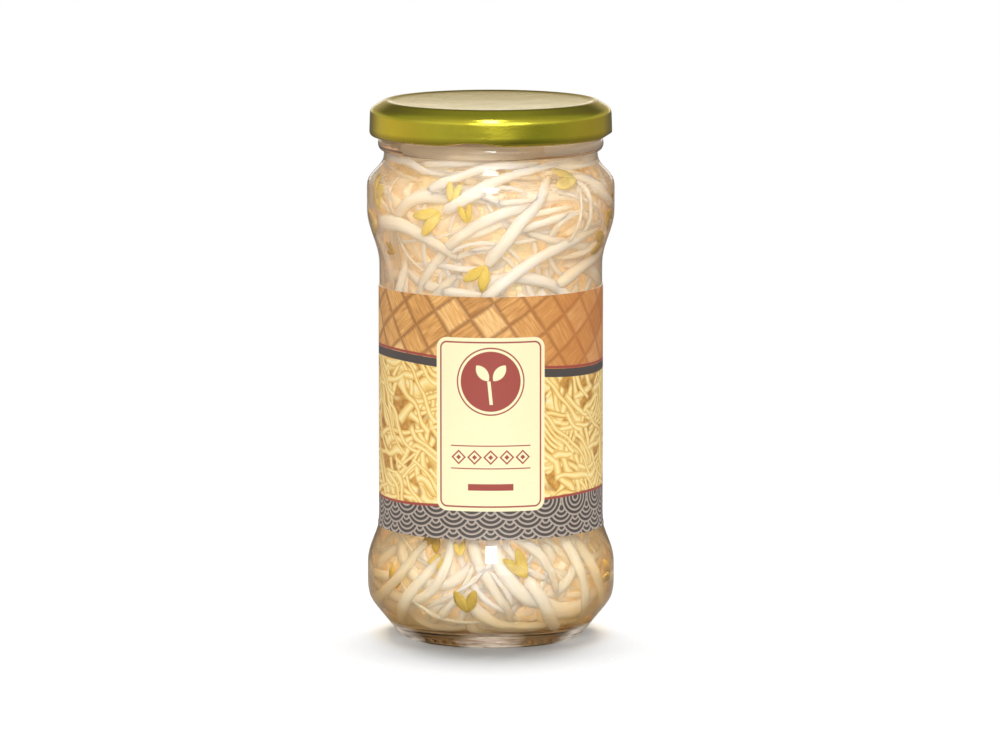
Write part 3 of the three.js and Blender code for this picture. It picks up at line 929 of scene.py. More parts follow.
def lay_collar(bunch, rng, count=30):
    """Strands that run round inside the neck, at the top of the bunch."""
    end = bunch.wall.reach[-1]
    for _ in range(count):
        steps = rng.integers(20, 44)
        along = np.arange(steps) * STRANDS.stride
        angle = rng.uniform(0, math.tau) + along / MOUTH[0]
        rise = rng.uniform(-0.12, 0.12) * along
        distance = np.clip(end - rng.uniform(1.6, 4.5) + rise, 0, end - 1.6)
        half = strand_halves(rng.uniform(1.8, 3.2), steps, 0.4)
        needed = bunch.wall.needed(angle, distance, half)
        bunch.add("near", angle, distance, half, eased_over(needed), rng.uniform(0, 1), 3.0)


FILLERS = [
    # how many, in which layer, widths, lengths, how much they bend, how many places are tried for each
    (60, "near", (3.0, 4.4), (40, 84), 0.035, 8),
    (150, "near", (1.1, 2.4), (32, 70), 0.05, 7),
    (240, "deep", (2.0, 3.6), (30, 66), 0.04, 5),
    (320, "deep", (1.2, 2.4), (24, 56), 0.05, 5),
]


def lay_fillers(bunch, rng):
    """More strands, each put where it closes most of the gaps of a few chance places."""
    zones = [STRANDS.base, (STRANDS.shoulder, bunch.wall.reach[-1]), STRANDS.waist]
    for count, layer, widths, lengths, bend, tries in FILLERS:
        for _ in range(count):
            width = rng.uniform(*widths)
            zone = zones[rng.choice(3, p=[0.42, 0.47, 0.11])]
            best = None
            for _ in range(tries):
                angle, distance = drifting_path(rng, bunch.wall, zone, rng.uniform(*lengths), bend)
                half = strand_halves(width, len(angle), rng.uniform(0.3, 0.7))
                needed = bunch.wall.needed(angle, distance, half)
                cost = np.minimum(needed, 7).mean() + 3 * (needed.max() > STRANDS.deepest)
                if best is None or cost < best[0]:
                    best = (cost, angle, distance, half, eased_over(needed))
            middle = best[-1]
            if np.percentile(middle, 90) < STRANDS.deepest + 0.5:
                bunch.add(layer, *best[1:], rng.uniform(0, 1), rng.uniform(2, 5))


def lay_threads(bunch, rng, count=420):
    """Thin stems and root threads close on the core, seen only through the gaps."""
    zones = [(5, 60), (STRANDS.shoulder, bunch.wall.reach[-1] - 2)]
    for _ in range(count):
        zone = zones[rng.integers(2)]
        angle, distance = drifting_path(rng, bunch.wall, zone, rng.uniform(18, 40), 0.05)
        half = strand_halves(rng.uniform(1.0, 2.4), len(angle), 0.4)
        depth = STRANDS.deepest + rng.uniform(-1.6, -0.2) + rng.uniform(0.2, 0.9) * np.sin(
            np.linspace(0, rng.uniform(2, 8), len(angle)))
        bunch.keep("inner", angle, distance, half, depth, rng.uniform(0, 1))


def strand_group():
    """Turns paths into round strands, pressed flat towards the glass and a little uneven."""
    graph, given = new_group("sprout_strands", [
        ("Paths", "Geometry", None), ("Sides", "Int", 8), ("Press", "Float", 0.14),
        ("Unevenness", "Float", 0.0003), ("Lump Size", "Float", 260.0), ("Finish", "Material", None),
    ], ("Strands", "Geometry"))
    place = graph.node("GeometryNodeInputPosition")[0]

    def stored(geometry, name):
        """The geometry, with each point's present place kept under a name."""
        return graph.node("GeometryNodeStoreNamedAttribute", {
            "Geometry": geometry, "Name": name, "Value": place,
        }, data_type="FLOAT_VECTOR", domain="POINT")[0]

    def attribute(name, kind):
        return graph.node("GeometryNodeInputNamedAttribute", {"Name": name}, data_type=kind)[0]

    def vector(operation, *values, output="Vector"):
        return graph.node("ShaderNodeVectorMath", dict(enumerate(values)), operation=operation)[output]

    def scaled(direction, length):
        return graph.node("ShaderNodeVectorMath", {0: direction, "Scale": length}, operation="SCALE")[0]

    paths = stored(graph.node("GeometryNodeMeshToCurve", {"Mesh": given["Paths"]})[0], "middle")
    circle = graph.node("GeometryNodeCurvePrimitiveCircle", {"Resolution": given["Sides"], "Radius": 1.0})[0]
    strands = graph.node("GeometryNodeCurveToMesh", {
        "Curve": paths, "Profile Curve": stored(circle, "round"), "Scale": attribute("half", "FLOAT"),
        "Fill Caps": True,
    })[0]
    middle = attribute("middle", "FLOAT_VECTOR")
    outwards = vector("NORMALIZE", vector("MULTIPLY", middle, (1, 1, 0)))
    away = vector("DOT_PRODUCT", vector("SUBTRACT", place, middle), outwards, output="Value")
    squeezed = scaled(outwards, Number(graph, away) * given["Press"] * -1)
    lumps = (graph.noise(place, given["Lump Size"], 2) - 0.5) * given["Unevenness"]
    swollen = scaled(graph.node("GeometryNodeInputNormal")[0], lumps)
    moved = graph.node("GeometryNodeSetPosition", {
        "Geometry": strands, "Offset": vector("ADD", squeezed, swollen),
    })[0]
    smooth = graph.node("GeometryNodeSetShadeSmooth", {"Geometry": moved, "Shade Smooth": True})[0]
    done = graph.node("GeometryNodeSetMaterial", {"Geometry": smooth, "Material": given["Finish"]})[0]
    plain = graph.node("GeometryNodeRealizeInstances", {"Geometry": done})[0]
    graph.node("NodeGroupOutput", {"Strands": plain})
    return graph.tree


def grown(name, mesh, tree, inputs):
    """The plain mesh that a geometry tree makes from another mesh."""
    seed = linked(f"{name}_paths", mesh)
    modifier = seed.modifiers.new("growth", "NODES")
    modifier.node_group = tree
    sockets = {item.name: item.identifier for item in tree.interface.items_tree if item.in_out == "INPUT"}
    for label, value in inputs.items():
        modifier[sockets[label]] = value
    evaluated = seed.evaluated_get(bpy.context.evaluated_depsgraph_get())
    made = bpy.data.meshes.new_from_object(evaluated)
    made.name = name
    bpy.data.objects.remove(seed)
    return linked(name, made)


def paths_mesh(name, strands):
    """The strands' middle lines as bare edges, with their sizes as attributes."""
    points, half, share, tint = (np.concatenate([strand[i] for strand in strands]) for i in range(4))
    edges, start = [], 0
    for strand in strands:
        count = len(strand[0])
        edges += [(start + i, start + i + 1) for i in range(count - 1)]
        start += count
    mesh = bpy.data.meshes.new(name)
    mesh.from_pydata((points * MM).tolist(), edges, [])
    for label, values in (("half", half * MM), ("share", share), ("tint", tint)):
        mesh.attributes.new(label, "FLOAT", "POINT").data.foreach_set("value", values)
    return mesh


def stem_finish(name, base, glow):
    """Pale translucent flesh with fine lengthwise streaks, and browner root ends. Base holds three
    tones of flesh, the streaks' and the root's. Glow stands in for the light that comes through the
    whole bunch from behind."""
    graph = Finish(name)
    share, tint = graph.attribute("share"), graph.attribute("tint")
    x, y, _ = graph.split(graph.node("ShaderNodeAttribute", attribute_name="round")["Vector"])
    fibres = graph.noise(graph.combine(x * 2.6, y * 2.6, share * 3.5 + tint * 40), 1.6, 3, 0.6)
    cloud = graph.cloud(170.0)
    tone = graph.ramp(tint * 0.55 + cloud * 0.55 - 0.05, (0.1, base[0]), (0.5, base[1]), (0.9, base[2]))
    streaked = graph.blend(fibres.over(0.5, 0.3) * 0.35, tone, base[3])
    rooted = (share.over(0.86, 0.3) * 0.6).either(share.under(0.03, 0.05) * 0.4)
    colour = graph.blend(rooted, streaked, base[4])
    return graph.ended(graph.principled(
        Base_Color=graph.blend(1.0, colour, (0.92, 0.92, 0.92), "MULTIPLY"), Roughness=fibres * 0.2 + 0.34,
        IOR=1.12, Subsurface_Weight=0.9, Subsurface_Radius=(1.0, 0.82, 0.6), Subsurface_Scale=0.0045,
        Emission_Color=colour, Emission_Strength=glow,
        Normal=graph.bump(fibres * 0.7 + cloud * 0.3, 0.35, 0.0003),
    ))


def core_finish():
    """What lies too deep to see apart: sprouts in shade, in warm uneven tones, with a painted glow that
    stands in for light coming through the bunch.
    """
    graph = Finish("deep_sprouts")
    place = graph.object_place((1, 1, 2.2))
    cloud = graph.cloud(150.0, place)
    streaks = graph.noise(place, 420, 2, 0.6, 1.5)
    colour = graph.ramp(cloud * 0.6 + streaks * 0.4, (0.3, (0.84, 0.66, 0.38)), (0.52, (0.94, 0.82, 0.58)),
                        (0.72, (0.97, 0.91, 0.76)))
    # The emission is a painted glow, not a lamp.
    return graph.ended(graph.principled(
        Base_Color=colour, Roughness=0.5, IOR=1.12, Emission_Color=colour, Emission_Strength=0.3,
        Normal=graph.bump(cloud + streaks, 0.8, 0.0012),
    ))


def make_core():
    """The lumpy middle of the bunch that the strands lie round."""
    rng = np.random.default_rng(5)
    waves = [
        (rng.integers(2, 9), rng.uniform(0.03, 0.12), rng.uniform(0, 6), rng.uniform(0.3, 0.8))
        for _ in range(9)
    ]

    def lumpy(radii, heights, angles):
        bulge = sum(
            size * np.sin(angles * times + heights * pitch + phase)
            for times, pitch, phase, size in waves
        )
        return radii + bulge * np.clip(radii / 12, 0, 1), heights

    side = cut_at(inset(cut_at(cavity, BUNCH_TOP), STRANDS.deepest), CORE_TOP - 1)
    side = side[side[:, 0] > 0.5]
    profile = np.vstack([[[0, side[0][1]]], spaced(side, 2.0), [[0, CORE_TOP]]])
    core = turned("sprout_core", profile, 72, lumpy)
    core.data.materials.append(core_finish())
    return core


LAYERS = [
    # layer, sides of a strand, painted glow (stronger for the deeper, more shaded layers), then tones: three
    # of flesh, the streaks' and the root's
    ("near", 8, 0.13,
     [(0.86, 0.74, 0.59), (0.88, 0.81, 0.72), (0.89, 0.85, 0.82), (0.91, 0.89, 0.88), (0.83, 0.67, 0.47)]),
    ("deep", 7, 0.21,
     [(0.95, 0.77, 0.54), (0.96, 0.83, 0.67), (0.97, 0.88, 0.78), (0.97, 0.92, 0.86), (0.88, 0.68, 0.43)]),
    ("inner", 6, 0.28,
     [(0.9, 0.68, 0.4), (0.92, 0.76, 0.53), (0.94, 0.83, 0.64), (0.95, 0.88, 0.74), (0.84, 0.62, 0.36)]),
]


def make_sprouts(bunch):
    group = strand_group()
    pieces = []
    for layer, sides, glow, tones in LAYERS:
        name = f"{layer}_sprout_stems"
        stems = grown(name, paths_mesh(name, bunch.layers[layer]), group, {
            "Sides": sides, "Press": 1 - STRANDS.flat, "Unevenness": 0.0006, "Lump Size": 230.0,
            "Finish": stem_finish(f"{layer}_stem_flesh", tones, glow),
        })
        closed_smooth(stems.data, 60)
        pieces.append(stems)
    for piece in (*pieces, make_core()):
        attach(piece, "jar")
        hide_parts("sprouts")


# ---- Seed leaves ----

def head_frames(stems):
    """Where the source's seed leaves lie: place, the way they point, and their outer face."""
    envelope = inset(cut_at(coarse_cavity, BUNCH_TOP), STEMS.contents_gap)
    frames = []
    for stem in stems_with_heads(stems):
        end, before = (Vector(point) for point in stem.points[:2])
        height, angle = end.z, math.atan2(end.x, -end.y)
        slope = (radius_at(envelope, height + 3) - radius_at(envelope, height - 3)) / 6
        face = Vector((math.sin(angle), -math.cos(angle), -slope)).normalized()
        forwards = -(end - before).cross(face).cross(face).normalized()
        place = Vector(polar(np.array(radius_at(envelope, height) - HEADS.sink), np.array(angle), height))
        frames.append((place, forwards, face))
    return frames


def leaf_pair():
    """Two thick seed leaves that part from one end, each pointed, grooved and a little cupped."""
    work = bmesh.new()
    for way in (-1, 1):
        made = bmesh.ops.create_uvsphere(work, u_segments=14, v_segments=9, radius=1)["verts"]
        for vert in made:
            x, y, z = vert.co.z, vert.co.x, vert.co.y
            taper = (1 - HEADS.tip_taper * max(x, 0) ** 2) * (1 - HEADS.root_taper * max(-x, 0))
            groove = HEADS.groove * math.exp(-((y / 0.22) ** 2)) * (1 - x * x) if z > 0 else 0
            lie = Vector((
                x * HEADS.length / 2 + HEADS.length * HEADS.inner_end,
                y * HEADS.width / 2 * taper,
                (z * taper - groove) * HEADS.thickness / 2 - HEADS.cup * x * x,
            ))
            angle = math.radians(way * HEADS.spread)
            vert.co = Vector((
                lie.x * math.cos(angle) - lie.y * math.sin(angle),
                lie.x * math.sin(angle) + lie.y * math.cos(angle),
                lie.z + way * HEADS.part,
            )) * MM
    mesh = bpy.data.meshes.new("leaf_pair")
    work.to_mesh(mesh)
    work.free()
    closed_smooth(mesh, 60)
    return mesh


def leaf_group():
    """Puts a pair of seed leaves at each point, turned the way the point's attributes say."""
    graph, given = new_group("seed_leaf_pairs", [
        ("Places", "Geometry", None), ("Pair", "Object", None), ("Finish", "Material", None),
    ], ("Leaves", "Geometry"))

    def attribute(name):
        return graph.node("GeometryNodeInputNamedAttribute", {"Name": name}, data_type="FLOAT_VECTOR")[0]

    turn = graph.node("FunctionNodeAxesToRotation", {
        "Primary Axis": attribute("face"), "Secondary Axis": attribute("forwards"),
    }, primary_axis="Z", secondary_axis="X")[0]
    pair = graph.node("GeometryNodeObjectInfo", {"Object": given["Pair"]})["Geometry"]
    pairs = graph.node("GeometryNodeInstanceOnPoints", {
        "Points": given["Places"], "Instance": pair, "Rotation": turn, "Scale": attribute("size"),
    })[0]
    plain = graph.node("GeometryNodeRealizeInstances", {"Geometry": pairs})[0]
    done = graph.node("GeometryNodeSetMaterial", {"Geometry": plain, "Material": given["Finish"]})[0]
    graph.node("NodeGroupOutput", {"Leaves": done})
    return graph.tree


def seed_leaf_finish():
    """Waxy flesh in uneven yellows, from deep amber to pale."""
    graph = Finish("seed_leaf_flesh")
    cloud = graph.cloud(240.0)
    tone = graph.ramp(cloud * 0.6 + graph.attribute("tint") * 0.45, (0.2, (0.58, 0.37, 0.05)),
                      (0.5, (0.76, 0.57, 0.13)), (0.75, (0.9, 0.74, 0.32)))
    return graph.ended(graph.principled(
        Base_Color=tone, Roughness=cloud * 0.2 + 0.3, IOR=1.14, Subsurface_Weight=0.25,
        Subsurface_Radius=(1.0, 0.7, 0.15), Subsurface_Scale=0.001, Normal=graph.bump(cloud, 0.4, 0.0004),
    ))


def leaves_from(name, rows, pair, group, finish):
    """One piece of seed leaves from (place, forwards, face, size, tint) rows."""
    places, *ways, tints = zip(*rows)
    mesh = bpy.data.meshes.new(f"{name}_places")
    mesh.from_pydata([tuple(place * MM) for place in places], [], [])
    for label, values in zip(("forwards", "face", "size"), ways):
        flat = np.array(values, float).ravel()
        mesh.attributes.new(label, "FLOAT_VECTOR", "POINT").data.foreach_set("vector", flat)
    mesh.attributes.new("tint", "FLOAT", "POINT").data.foreach_set("value", tints)
    return grown(name, mesh, group, {"Pair": pair, "Finish": finish})


def lay_source_heads(wall, frames, rng):
    """The source's seed leaves, as near the glass as what is already laid there lets them lie."""
    rows, half = [], np.array([HEADS.half])
    for place, forwards, face in frames:
        middle = place + forwards * HEADS.length * 0.42
        angle, distance, _ = wall.locate(np.array([middle]))
        depth = wall.needed(angle, distance, half)[0] - HEADS.half * STRANDS.flat
        wall.lay(angle, distance, half, np.array([depth - 0.8]))
        size = (rng.uniform(0.88, 1.06), rng.uniform(0.66, 0.95), rng.uniform(0.8, 1.1))
        rows.append((place + face * (HEADS.proud - min(depth, 2.4)), forwards, face, size, rng.uniform(0, 1)))
    return rows


def lay_small_heads(wall, rng, count=26):
    """Smaller seed leaves, half hidden behind the outer stems."""
    rows = []
    zones = [(14, 55), (122, wall.reach[-1] - 4)]
    for _ in range(count * 6):
        if len(rows) == count:
            break
        zone = zones[rng.integers(2)]
        angle, distance = np.array([rng.uniform(0, math.tau)]), np.array([rng.uniform(*zone)])
        depth = wall.needed(angle, distance, np.array([1.8]))
        if depth[0] > HEADS.deepest:
            continue
        size = rng.uniform(0.5, 0.85) * np.array([1, rng.uniform(0.65, 1), 1])
        place, behind = (Vector(wall.place(angle, distance, value)[0]) for value in (depth, depth + 1))
        face = (place - behind).normalized()
        forwards = Vector(rng.normal(size=3)).cross(face).normalized()
        wall.lay(angle, distance, np.array([HEADS.small_half]), depth + 0.4)
        rows.append((place, forwards, face, size, rng.uniform(0, 1)))
    return rows


# ---- Paper label ----

def label_point(degrees, height, lift):
    """A point of the label, lifted off the glass, and over the label's own start where it laps that."""
    over_start = degrees > LABEL.seam + 360 - LABEL.lap
    lap = LABEL.sheet + LABEL.gap if over_start else 0
    return polar(np.array(radius_at(waist, height) + lift + lap), np.array(math.radians(degrees)), height)


def make_label():
    """A strip wrapped once round the waist, whose end laps over its start at the back."""
    heights = np.concatenate([
        np.linspace(LABEL.bottom, LABEL.bend_top, 7), np.linspace(LABEL.straight_from, LABEL.top, 6),
    ])
    columns = np.linspace(LABEL.seam, LABEL.seam + LABEL.wrap, LABEL.columns)
    loop = [(height, LABEL.gap + LABEL.sheet) for height in heights]
    loop += [(height, LABEL.gap) for height in heights[::-1]]
    points = [label_point(degrees, height, lift) for degrees in columns for height, lift in loop]
    rows, around, last = len(heights) - 1, len(loop), len(columns) - 1
    faces, kinds = [], []
    for low in range(0, last * around, around):
        high = low + around
        for i in range(around):
            j = (i + 1) % around
            faces.append((low + i, high + i, high + j, low + j))
            kinds.append(int(i >= rows))
    for start in (0, last * around):
        end = start + around - 1
        faces += [(start + i, start + i + 1, end - 1 - i, end - i) for i in range(rows)]
        kinds += [1] * rows
    mesh = bpy.data.meshes.new("wrap_label")
    mesh.from_pydata((np.array(points) * MM).tolist(), [], faces)
    mesh.polygons.foreach_set("material_index", kinds)
    corners = np.zeros(len(mesh.loops), int)
    mesh.loops.foreach_get("vertex_index", corners)
    up = (np.array(loop)[corners % around, 0] - LABEL.bottom) / (LABEL.top - LABEL.bottom)
    spread = np.stack([(corners // around) / last, up], 1)
    mesh.uv_layers.new(name="UVMap").data.foreach_set("uv", spread.ravel())
    closed_smooth(mesh, 40)
    label = linked("wrap_label", mesh)
    for finish in (printed_paper(), plain_paper()):
        mesh.materials.append(finish)
    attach(label, "jar")
    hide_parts("paper_label")


BRICK, CREAM, SLATE = (0.36, 0.072, 0.058), (0.92, 0.87, 0.59), (0.075, 0.066, 0.064)
# Heights are from the label's lower edge, and distances from the middle of its front.
WAVE = Values(rate=0.045, height=2.2, lower_share=0.6)
WOVEN = Values(
    bottom=47.5, splint=7.5, lean=(0.82, 0.57), redder_from=(14, 26), line=46.6, line_half=1.15,
)
SCALLOPED = Values(top=9.6, radius=5.2, ring=1.3)
TRIM = Values(upper=48.2, lower=9.9, half=0.35)
PANEL = Values(middle=31.5, half_width=12.2, half_height=20.7, corner=3.0, border=1.75, line_half=0.22)
DISC = Values(height=43.3, radius=8.2, ring=9.1, ring_half=0.2)
SPRIG = Values(lean=38, left=-2.2, right=2.4, height=45.6, disc=3.3, apart=1.9, stalk=40.2, stalk_half=3.2)
BAR = Values(height=14.4, half_height=0.9, half_width=6.2)
LOZENGES = Values(height=22.6, pitch=4.4, reach=1.75, line_half=0.28, centre=0.7, rules=3.1, half_width=11)
BARE = Values(place=62, height=28, half_width=10, half_height=15, line_inset=0.8)
STRIPS = [  # slant in degrees, width, and an offset that sets each lot of strips apart
    (72, 2.5, 3), (-38, 2.3, 17), (18, 2.2, 29), (-80, 2.0, 43), (44, 1.9, 57),
]


def slanted(x, h, angle):
    """The same place, on axes turned by an angle."""
    return x * math.cos(angle) + h * math.sin(angle), h * math.cos(angle) - x * math.sin(angle)


def weave_colour(graph, x, h):
    """Plaited bamboo splints laid on the slant, in tans."""
    cosine, sine = WOVEN.lean
    across, up = (x * cosine + h * sine) / WOVEN.splint, (h * cosine - x * sine) / WOVEN.splint
    lap = ((across.whole() + up.whole()) / 2).part().over(0.25, 0.01)
    over, below = graph.combine(across * 4.6, up * 0.5), graph.combine(up * 4.6 + 9, across * 0.5 + 5)
    along = graph.blend(lap, over, below)
    fibre = graph.noise(along, 2.6, 3, 0.6)
    shade = graph.noise(graph.combine(across.whole() * 3.7, up.whole() * 5.1, lap), 2.0, 0)
    edges = [((way.part() - 0.5).size() * 2).over(0.86, 0.2) for way in (across, up)]
    colour = graph.ramp(fibre * 0.6 + shade * 0.5 - 0.06, (0.25, (0.4, 0.17, 0.04)), (0.5, (0.74, 0.4, 0.13)),
                        (0.72, (0.97, 0.7, 0.34)))
    colour = graph.blend(edges[0].either(edges[1]) * 0.7, colour, (0.28, 0.11, 0.03))
    return graph.blend(x.over(*WOVEN.redder_from) * 0.6, colour, (0.58, 0.2, 0.05))


def strewn_colour(graph, x, h):
    """A field of loose pale strips lying over one another."""
    ground = graph.noise(graph.combine(x * 0.1, h * 0.1), 5, 2)
    colour = graph.ramp(ground, (0.3, (0.35, 0.15, 0.03)), (0.7, (0.72, 0.4, 0.09)))
    for i, (degrees, width, offset) in enumerate(STRIPS):
        across, along = slanted(x, h, math.radians(degrees))
        bend = graph.noise(graph.combine(x * 0.05 + offset, h * 0.05, i * 3.1), 1.4, 1) * 12
        lane = (across + bend) / width + offset
        inside = ((lane.part() - 0.5) * 2).size()
        chance = graph.noise(graph.combine(lane.whole() * 7.3, along * 0.055 + offset, i * 5.3), 1.0, 0)
        kept = chance.over(0.535, 0.03).both(inside.under(0.86))
        tone = graph.ramp(inside * 0.7 + chance * 0.55 - 0.15, (0.1, (0.97, 0.88, 0.53)),
                          (0.5, (0.91, 0.68, 0.24)), (0.9, (0.58, 0.28, 0.05)))
        colour = graph.blend(kept, colour, tone)
    return colour


def scallop_colour(graph, x, h):
    """Overlapping scallops, row over row, as on traditional wave-patterned cloth."""
    radius = SCALLOPED.radius
    shade = None
    for row in range(-1, 5):
        shift = 0.5 if row % 2 else 0.0
        cell = (x / (radius * 2) + shift).part() - 0.5
        reach = length_of(cell * (radius * 2), h - row * radius * 0.5)
        rings = (reach / SCALLOPED.ring).part().over(0.62, 0.2)
        disc = reach.under(radius, 0.15)
        shade = rings.both(disc) if shade is None else (rings - shade) * disc + shade
    return graph.blend(shade, SLATE, (0.46, 0.4, 0.36))


def leaf_shape(x, h, lean):
    """A pointed leaf where two discs cross, leaning one way."""
    along, across = slanted(x, h - SPRIG.height, math.radians(lean))
    offsets = (-SPRIG.apart, SPRIG.apart)
    one, other = (length_of(along + offset, across).under(SPRIG.disc, 0.15) for offset in offsets)
    return one.both(other)


def bands_colour(graph, x, h):
    """The label's bands, from the top down, whose edges swell and dip in a slow wave."""
    wave = (x * WAVE.rate).math("SINE") * WAVE.height
    upper, lower = h + wave, h - wave * WAVE.lower_share
    colour = graph.blend(upper.over(WOVEN.bottom, 0.1), strewn_colour(graph, x, h), weave_colour(graph, x, h))
    colour = graph.blend(upper.near(WOVEN.line, WOVEN.line_half), colour, (0.075, 0.065, 0.065))
    colour = graph.blend(lower.under(SCALLOPED.top, 0.1), colour, scallop_colour(graph, x, h))
    trim = upper.near(TRIM.upper, TRIM.half).either(lower.near(TRIM.lower, TRIM.half))
    return graph.blend(trim, colour, BRICK)


def with_panel(graph, x, h, colour):
    """The cream panel at the front: its border, a disc with a sprig, a bar and a row of lozenges."""
    side = x.size()
    corner = length_of(
        (side - PANEL.half_width).math("MAXIMUM", 0),
        ((h - PANEL.middle).size() - PANEL.half_height).math("MAXIMUM", 0),
    )
    panel = corner.under(PANEL.corner)
    colour = graph.blend(panel, colour, CREAM)
    reach = length_of(x, h - DISC.height)
    disc = reach.under(DISC.radius)
    bar = h.near(BAR.height, BAR.half_height).both(side.under(BAR.half_width))
    up = (h - LOZENGES.height).size()
    lozenge = ((x / LOZENGES.pitch + 0.5).part() - 0.5).size() * LOZENGES.pitch + up
    row = lozenge.near(LOZENGES.reach, LOZENGES.line_half).either(lozenge.under(LOZENGES.centre))
    row = row.both(side.under(LOZENGES.half_width, 0.05))
    rules = up.near(LOZENGES.rules, 0.16).both(side.under(LOZENGES.half_width))
    red = corner.near(PANEL.border, PANEL.line_half)
    for mark in (disc, reach.near(DISC.ring, DISC.ring_half), bar, row, rules):
        red = red.either(mark)
    colour = graph.blend(red.both(panel), colour, BRICK)
    stalk = (x + (h - 38.5) * 0.1).size().under(0.45).both(h.near(SPRIG.stalk, SPRIG.stalk_half))
    leaves = leaf_shape(x - SPRIG.left, h, SPRIG.lean).either(leaf_shape(x - SPRIG.right, h, -SPRIG.lean))
    return graph.blend(leaves.either(stalk).both(disc), colour, CREAM)


def with_bare_panels(graph, x, h, colour):
    """Two bare panels towards the back, each with a thin line inside its edge."""
    sideways, upwards = (x.size() - BARE.place).size(), (h - BARE.height).size()
    bare = sideways.under(BARE.half_width).both(upwards.under(BARE.half_height))
    colour = graph.blend(bare, colour, (0.96, 0.92, 0.72))
    wide, high = BARE.half_width - BARE.line_inset, BARE.half_height - BARE.line_inset
    edge = sideways.near(wide, 0.2).both(upwards.under(high, 0.1)).either(
        upwards.near(high, 0.2).both(sideways.under(wide, 0.1)))
    return graph.blend(edge, colour, BRICK)


def printed_paper():
    """The label's print: bands of common patterns, a cream panel with a small sprig, and bare ones."""
    graph = Finish("label_print")
    uv = graph.node("ShaderNodeUVMap", uv_map="UVMap")[0]
    u, v, _ = graph.split(uv)
    x = (u * math.radians(LABEL.wrap) + math.radians(LABEL.seam - 360)) * LABEL.radius
    h = v * (LABEL.top - LABEL.bottom)
    colour = with_panel(graph, x, h, bands_colour(graph, x, h))
    colour = graph.blend(1.0, with_bare_panels(graph, x, h, colour), (0.99, 0.94, 0.87), "MULTIPLY")
    fibre = graph.cloud(90.0, uv)
    screened = graph.blend(0.07, colour, graph.ramp(fibre, (0.3, 0.6), (0.7, 1)), "MULTIPLY")
    return graph.ended(graph.principled(
        Base_Color=screened, Roughness=fibre * 0.12 + 0.42, Specular_IOR_Level=0.4,
        Normal=graph.bump(fibre, 0.12, 0.0001),
    ))


def plain_paper():
    graph = Finish("label_paper_back")
    fibre = graph.cloud(900.0)
    colour = graph.ramp(fibre, (0.3, (0.84, 0.82, 0.77)), (0.7, (0.93, 0.92, 0.88)))
    return graph.ended(graph.principled(
        Base_Color=colour, Roughness=0.85, Normal=graph.bump(fibre, 0.2, 0.0001),
    ))


# ---- Lid and its seal ----

def lug_weight(angles):
    """How far each angle belongs to a lug, from 1 at its middle to 0 beyond its ends."""
    spacing = 360 / THREAD.count
    offset = np.mod(np.degrees(angles) - LUG.angle + spacing / 2, spacing) - spacing / 2
    return 1 - eased(np.minimum(np.abs(offset) / LUG.half_width, 1))


def press_lugs(radii, heights, angles):
    """The lugs: the curled edge is pressed inwards and up at four places."""
    curl_place, curl_height = LID.curl_centre
    weight = lug_weight(angles) * (radii > LID.rim) * np.clip((LUG.top - heights) / 1.2, 0, 1)
    inwards = (curl_place + LID.curl_radius - radii) / (2 * LID.curl_radius)
    lifted = curl_height - (curl_height - heights) * (1 - LUG.lift * weight)
    return radii - LUG.push * weight * inwards, np.where(heights < curl_height, lifted, heights)


def lid_profile():
    """The lid's section: its face, over the edge and down the skirt, round the curl, and back inside."""
    top, panel, rim, sheet = LID.top, LID.panel, LID.rim, LID.sheet
    floor = top - LID.recess
    bevel, shoulder, foot = np.array([LID.bevel, LID.skirt_top, LID.skirt_foot])
    dish = [[radius, floor - LID.dish * (1 - (radius / panel) ** 2)] for radius in range(0, 25, 4)]
    upper = np.array([
        *dish, [panel, floor], [panel + 0.6, floor + 0.06], [panel + 1.2, top - 0.07],
        [panel + 1.7, top], [rim - 0.4, top - 0.02], [rim, top - 0.14], bevel, bevel + (0.62, -0.52),
        shoulder + (-0.12, 0.5), shoulder, foot,
    ])
    lower = np.array([
        foot + (-sheet, 0.6), shoulder - (sheet, 0), bevel - (0.2, sheet), [rim - 0.1, top - sheet],
        [panel + 0.5, floor - sheet], [0, floor - sheet - LID.dish],
    ])
    curl = arc(LID.curl_centre, LID.curl_radius, 90, 355, 22)
    return np.vstack([rounded(upper, 0.3, 3), curl[::-1], rounded(lower, 0.4, 2)])


def lid_finish():
    """Tinplate under an olive-gold lacquer, with painted shade that darkens it down by the curl, and a fine
    orange peel.
    """
    graph = Finish("lid_lacquer")
    place = graph.object_place()
    cloud = graph.cloud(70.0, place)
    tone = graph.ramp(cloud, (0.25, (0.6, 0.52, 0.035)), (0.75, (0.66, 0.6, 0.045)))
    speck = graph.noise(place, 2600, 1).over(0.62, 0.1)
    colour = graph.blend(speck * 0.25, tone, (0.74, 0.64, 0.2))
    _, _, height = graph.split(graph.object_place((1000, 1000, 1000)))
    # Painted shade: the colour is darkened down by the curl.
    painted_curl_shade = height.under(LID.curl_centre[1] + 0.5, 1.2)
    colour = graph.blend(painted_curl_shade * 0.6, colour, (0.2, 0.16, 0.02))
    peel = graph.group(waviness, Size=110.0, Pebble=0.25)
    return graph.ended(graph.principled(
        Base_Color=colour, Metallic=1.0, Roughness=cloud * 0.1 + 0.13, Coat_Weight=0.2, Coat_Roughness=0.1,
        Specular_Tint=(1.0, 0.88, 0.66), Normal=graph.bump(peel, 0.1, 0.0006),
    ))


def make_lid():
    lid = turned("twist_off_lid", lid_profile(), 208, press_lugs, sharp=60)
    lid.data.materials.append(lid_finish())
    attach(lid, "lid")
    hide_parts("lid")


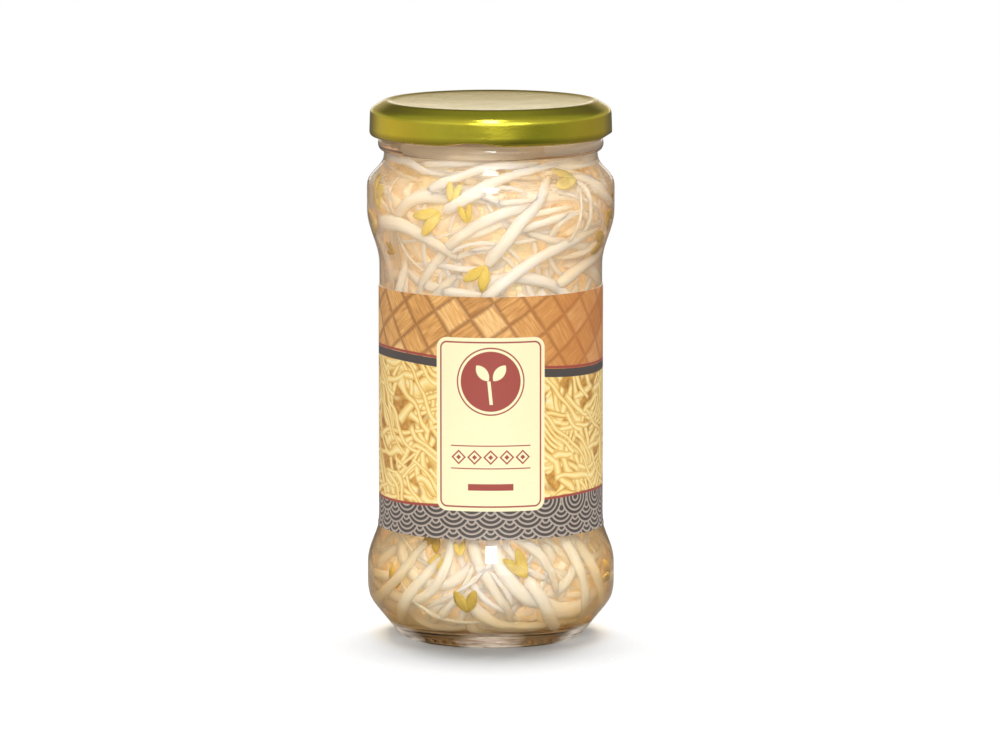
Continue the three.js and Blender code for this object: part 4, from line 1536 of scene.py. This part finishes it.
def make_seal():
    """The ring of sealing compound between the jar's rim and the lid."""
    bottom = NECK.rim + SEAL.gap
    slope = (LID.top - LID.bevel[1]) / (LID.bevel[0] - LID.rim)
    panel_under = LID.top - LID.recess - LID.sheet - SEAL.gap
    profile = rounded(np.array([
        [SEAL.inner, bottom + 0.2], [SEAL.inner + 0.5, bottom], [SEAL.outer - 0.6, bottom],
        [SEAL.outer, bottom + 0.2], [SEAL.outer, panel_under - slope * (SEAL.outer - LID.rim)],
        [SEAL.inner, panel_under], [SEAL.inner, bottom + 0.2],
    ]), 0.12, 2)
    seal = turned("sealing_ring", profile, 160, sharp=60)
    graph = Finish("seal_compound")
    cloud = graph.cloud(300.0)
    colour = graph.ramp(cloud, (0.3, (0.78, 0.75, 0.66)), (0.7, (0.86, 0.84, 0.76)))
    seal.data.materials.append(graph.ended(graph.principled(
        Base_Color=colour, Roughness=0.62, Normal=graph.bump(cloud, 0.3, 0.0003),
    )))
    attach(seal, "seal")
    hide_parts("lid_seal")


# ---- The whole ----

def make_contents():
    rng = np.random.default_rng(23)
    stems = source_stems()
    bunch = Bunch()
    frames = head_frames(stems)
    heads = lay_source_heads(bunch.wall, [frame for i, frame in enumerate(frames) if i % 3], rng)
    lay_source_stems(bunch, stems, rng)
    heads += lay_source_heads(bunch.wall, frames[::3], rng)
    lay_collar(bunch, rng)
    small = lay_small_heads(bunch.wall, rng)
    lay_fillers(bunch, rng)
    lay_threads(bunch, rng)
    make_sprouts(bunch)
    pair = linked("leaf_pair", leaf_pair())
    group, finish = leaf_group(), seed_leaf_finish()
    outer = leaves_from("outer_seed_leaves", heads, pair, group, finish)
    inner = leaves_from("small_seed_leaves", small, pair, group, finish)
    bpy.data.objects.remove(pair)
    for leaves in (outer, inner):
        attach(leaves, "jar")
    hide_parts(*(node for node in frame["nodes"] if node.startswith("seed_leaves")))


bpy.context.scene.view_settings.view_transform = "Standard"
set_camera()
set_softboxes()
set_world()
white_floor()
make_glass_jar()
make_brine()
make_contents()
make_label()
make_lid()
make_seal()
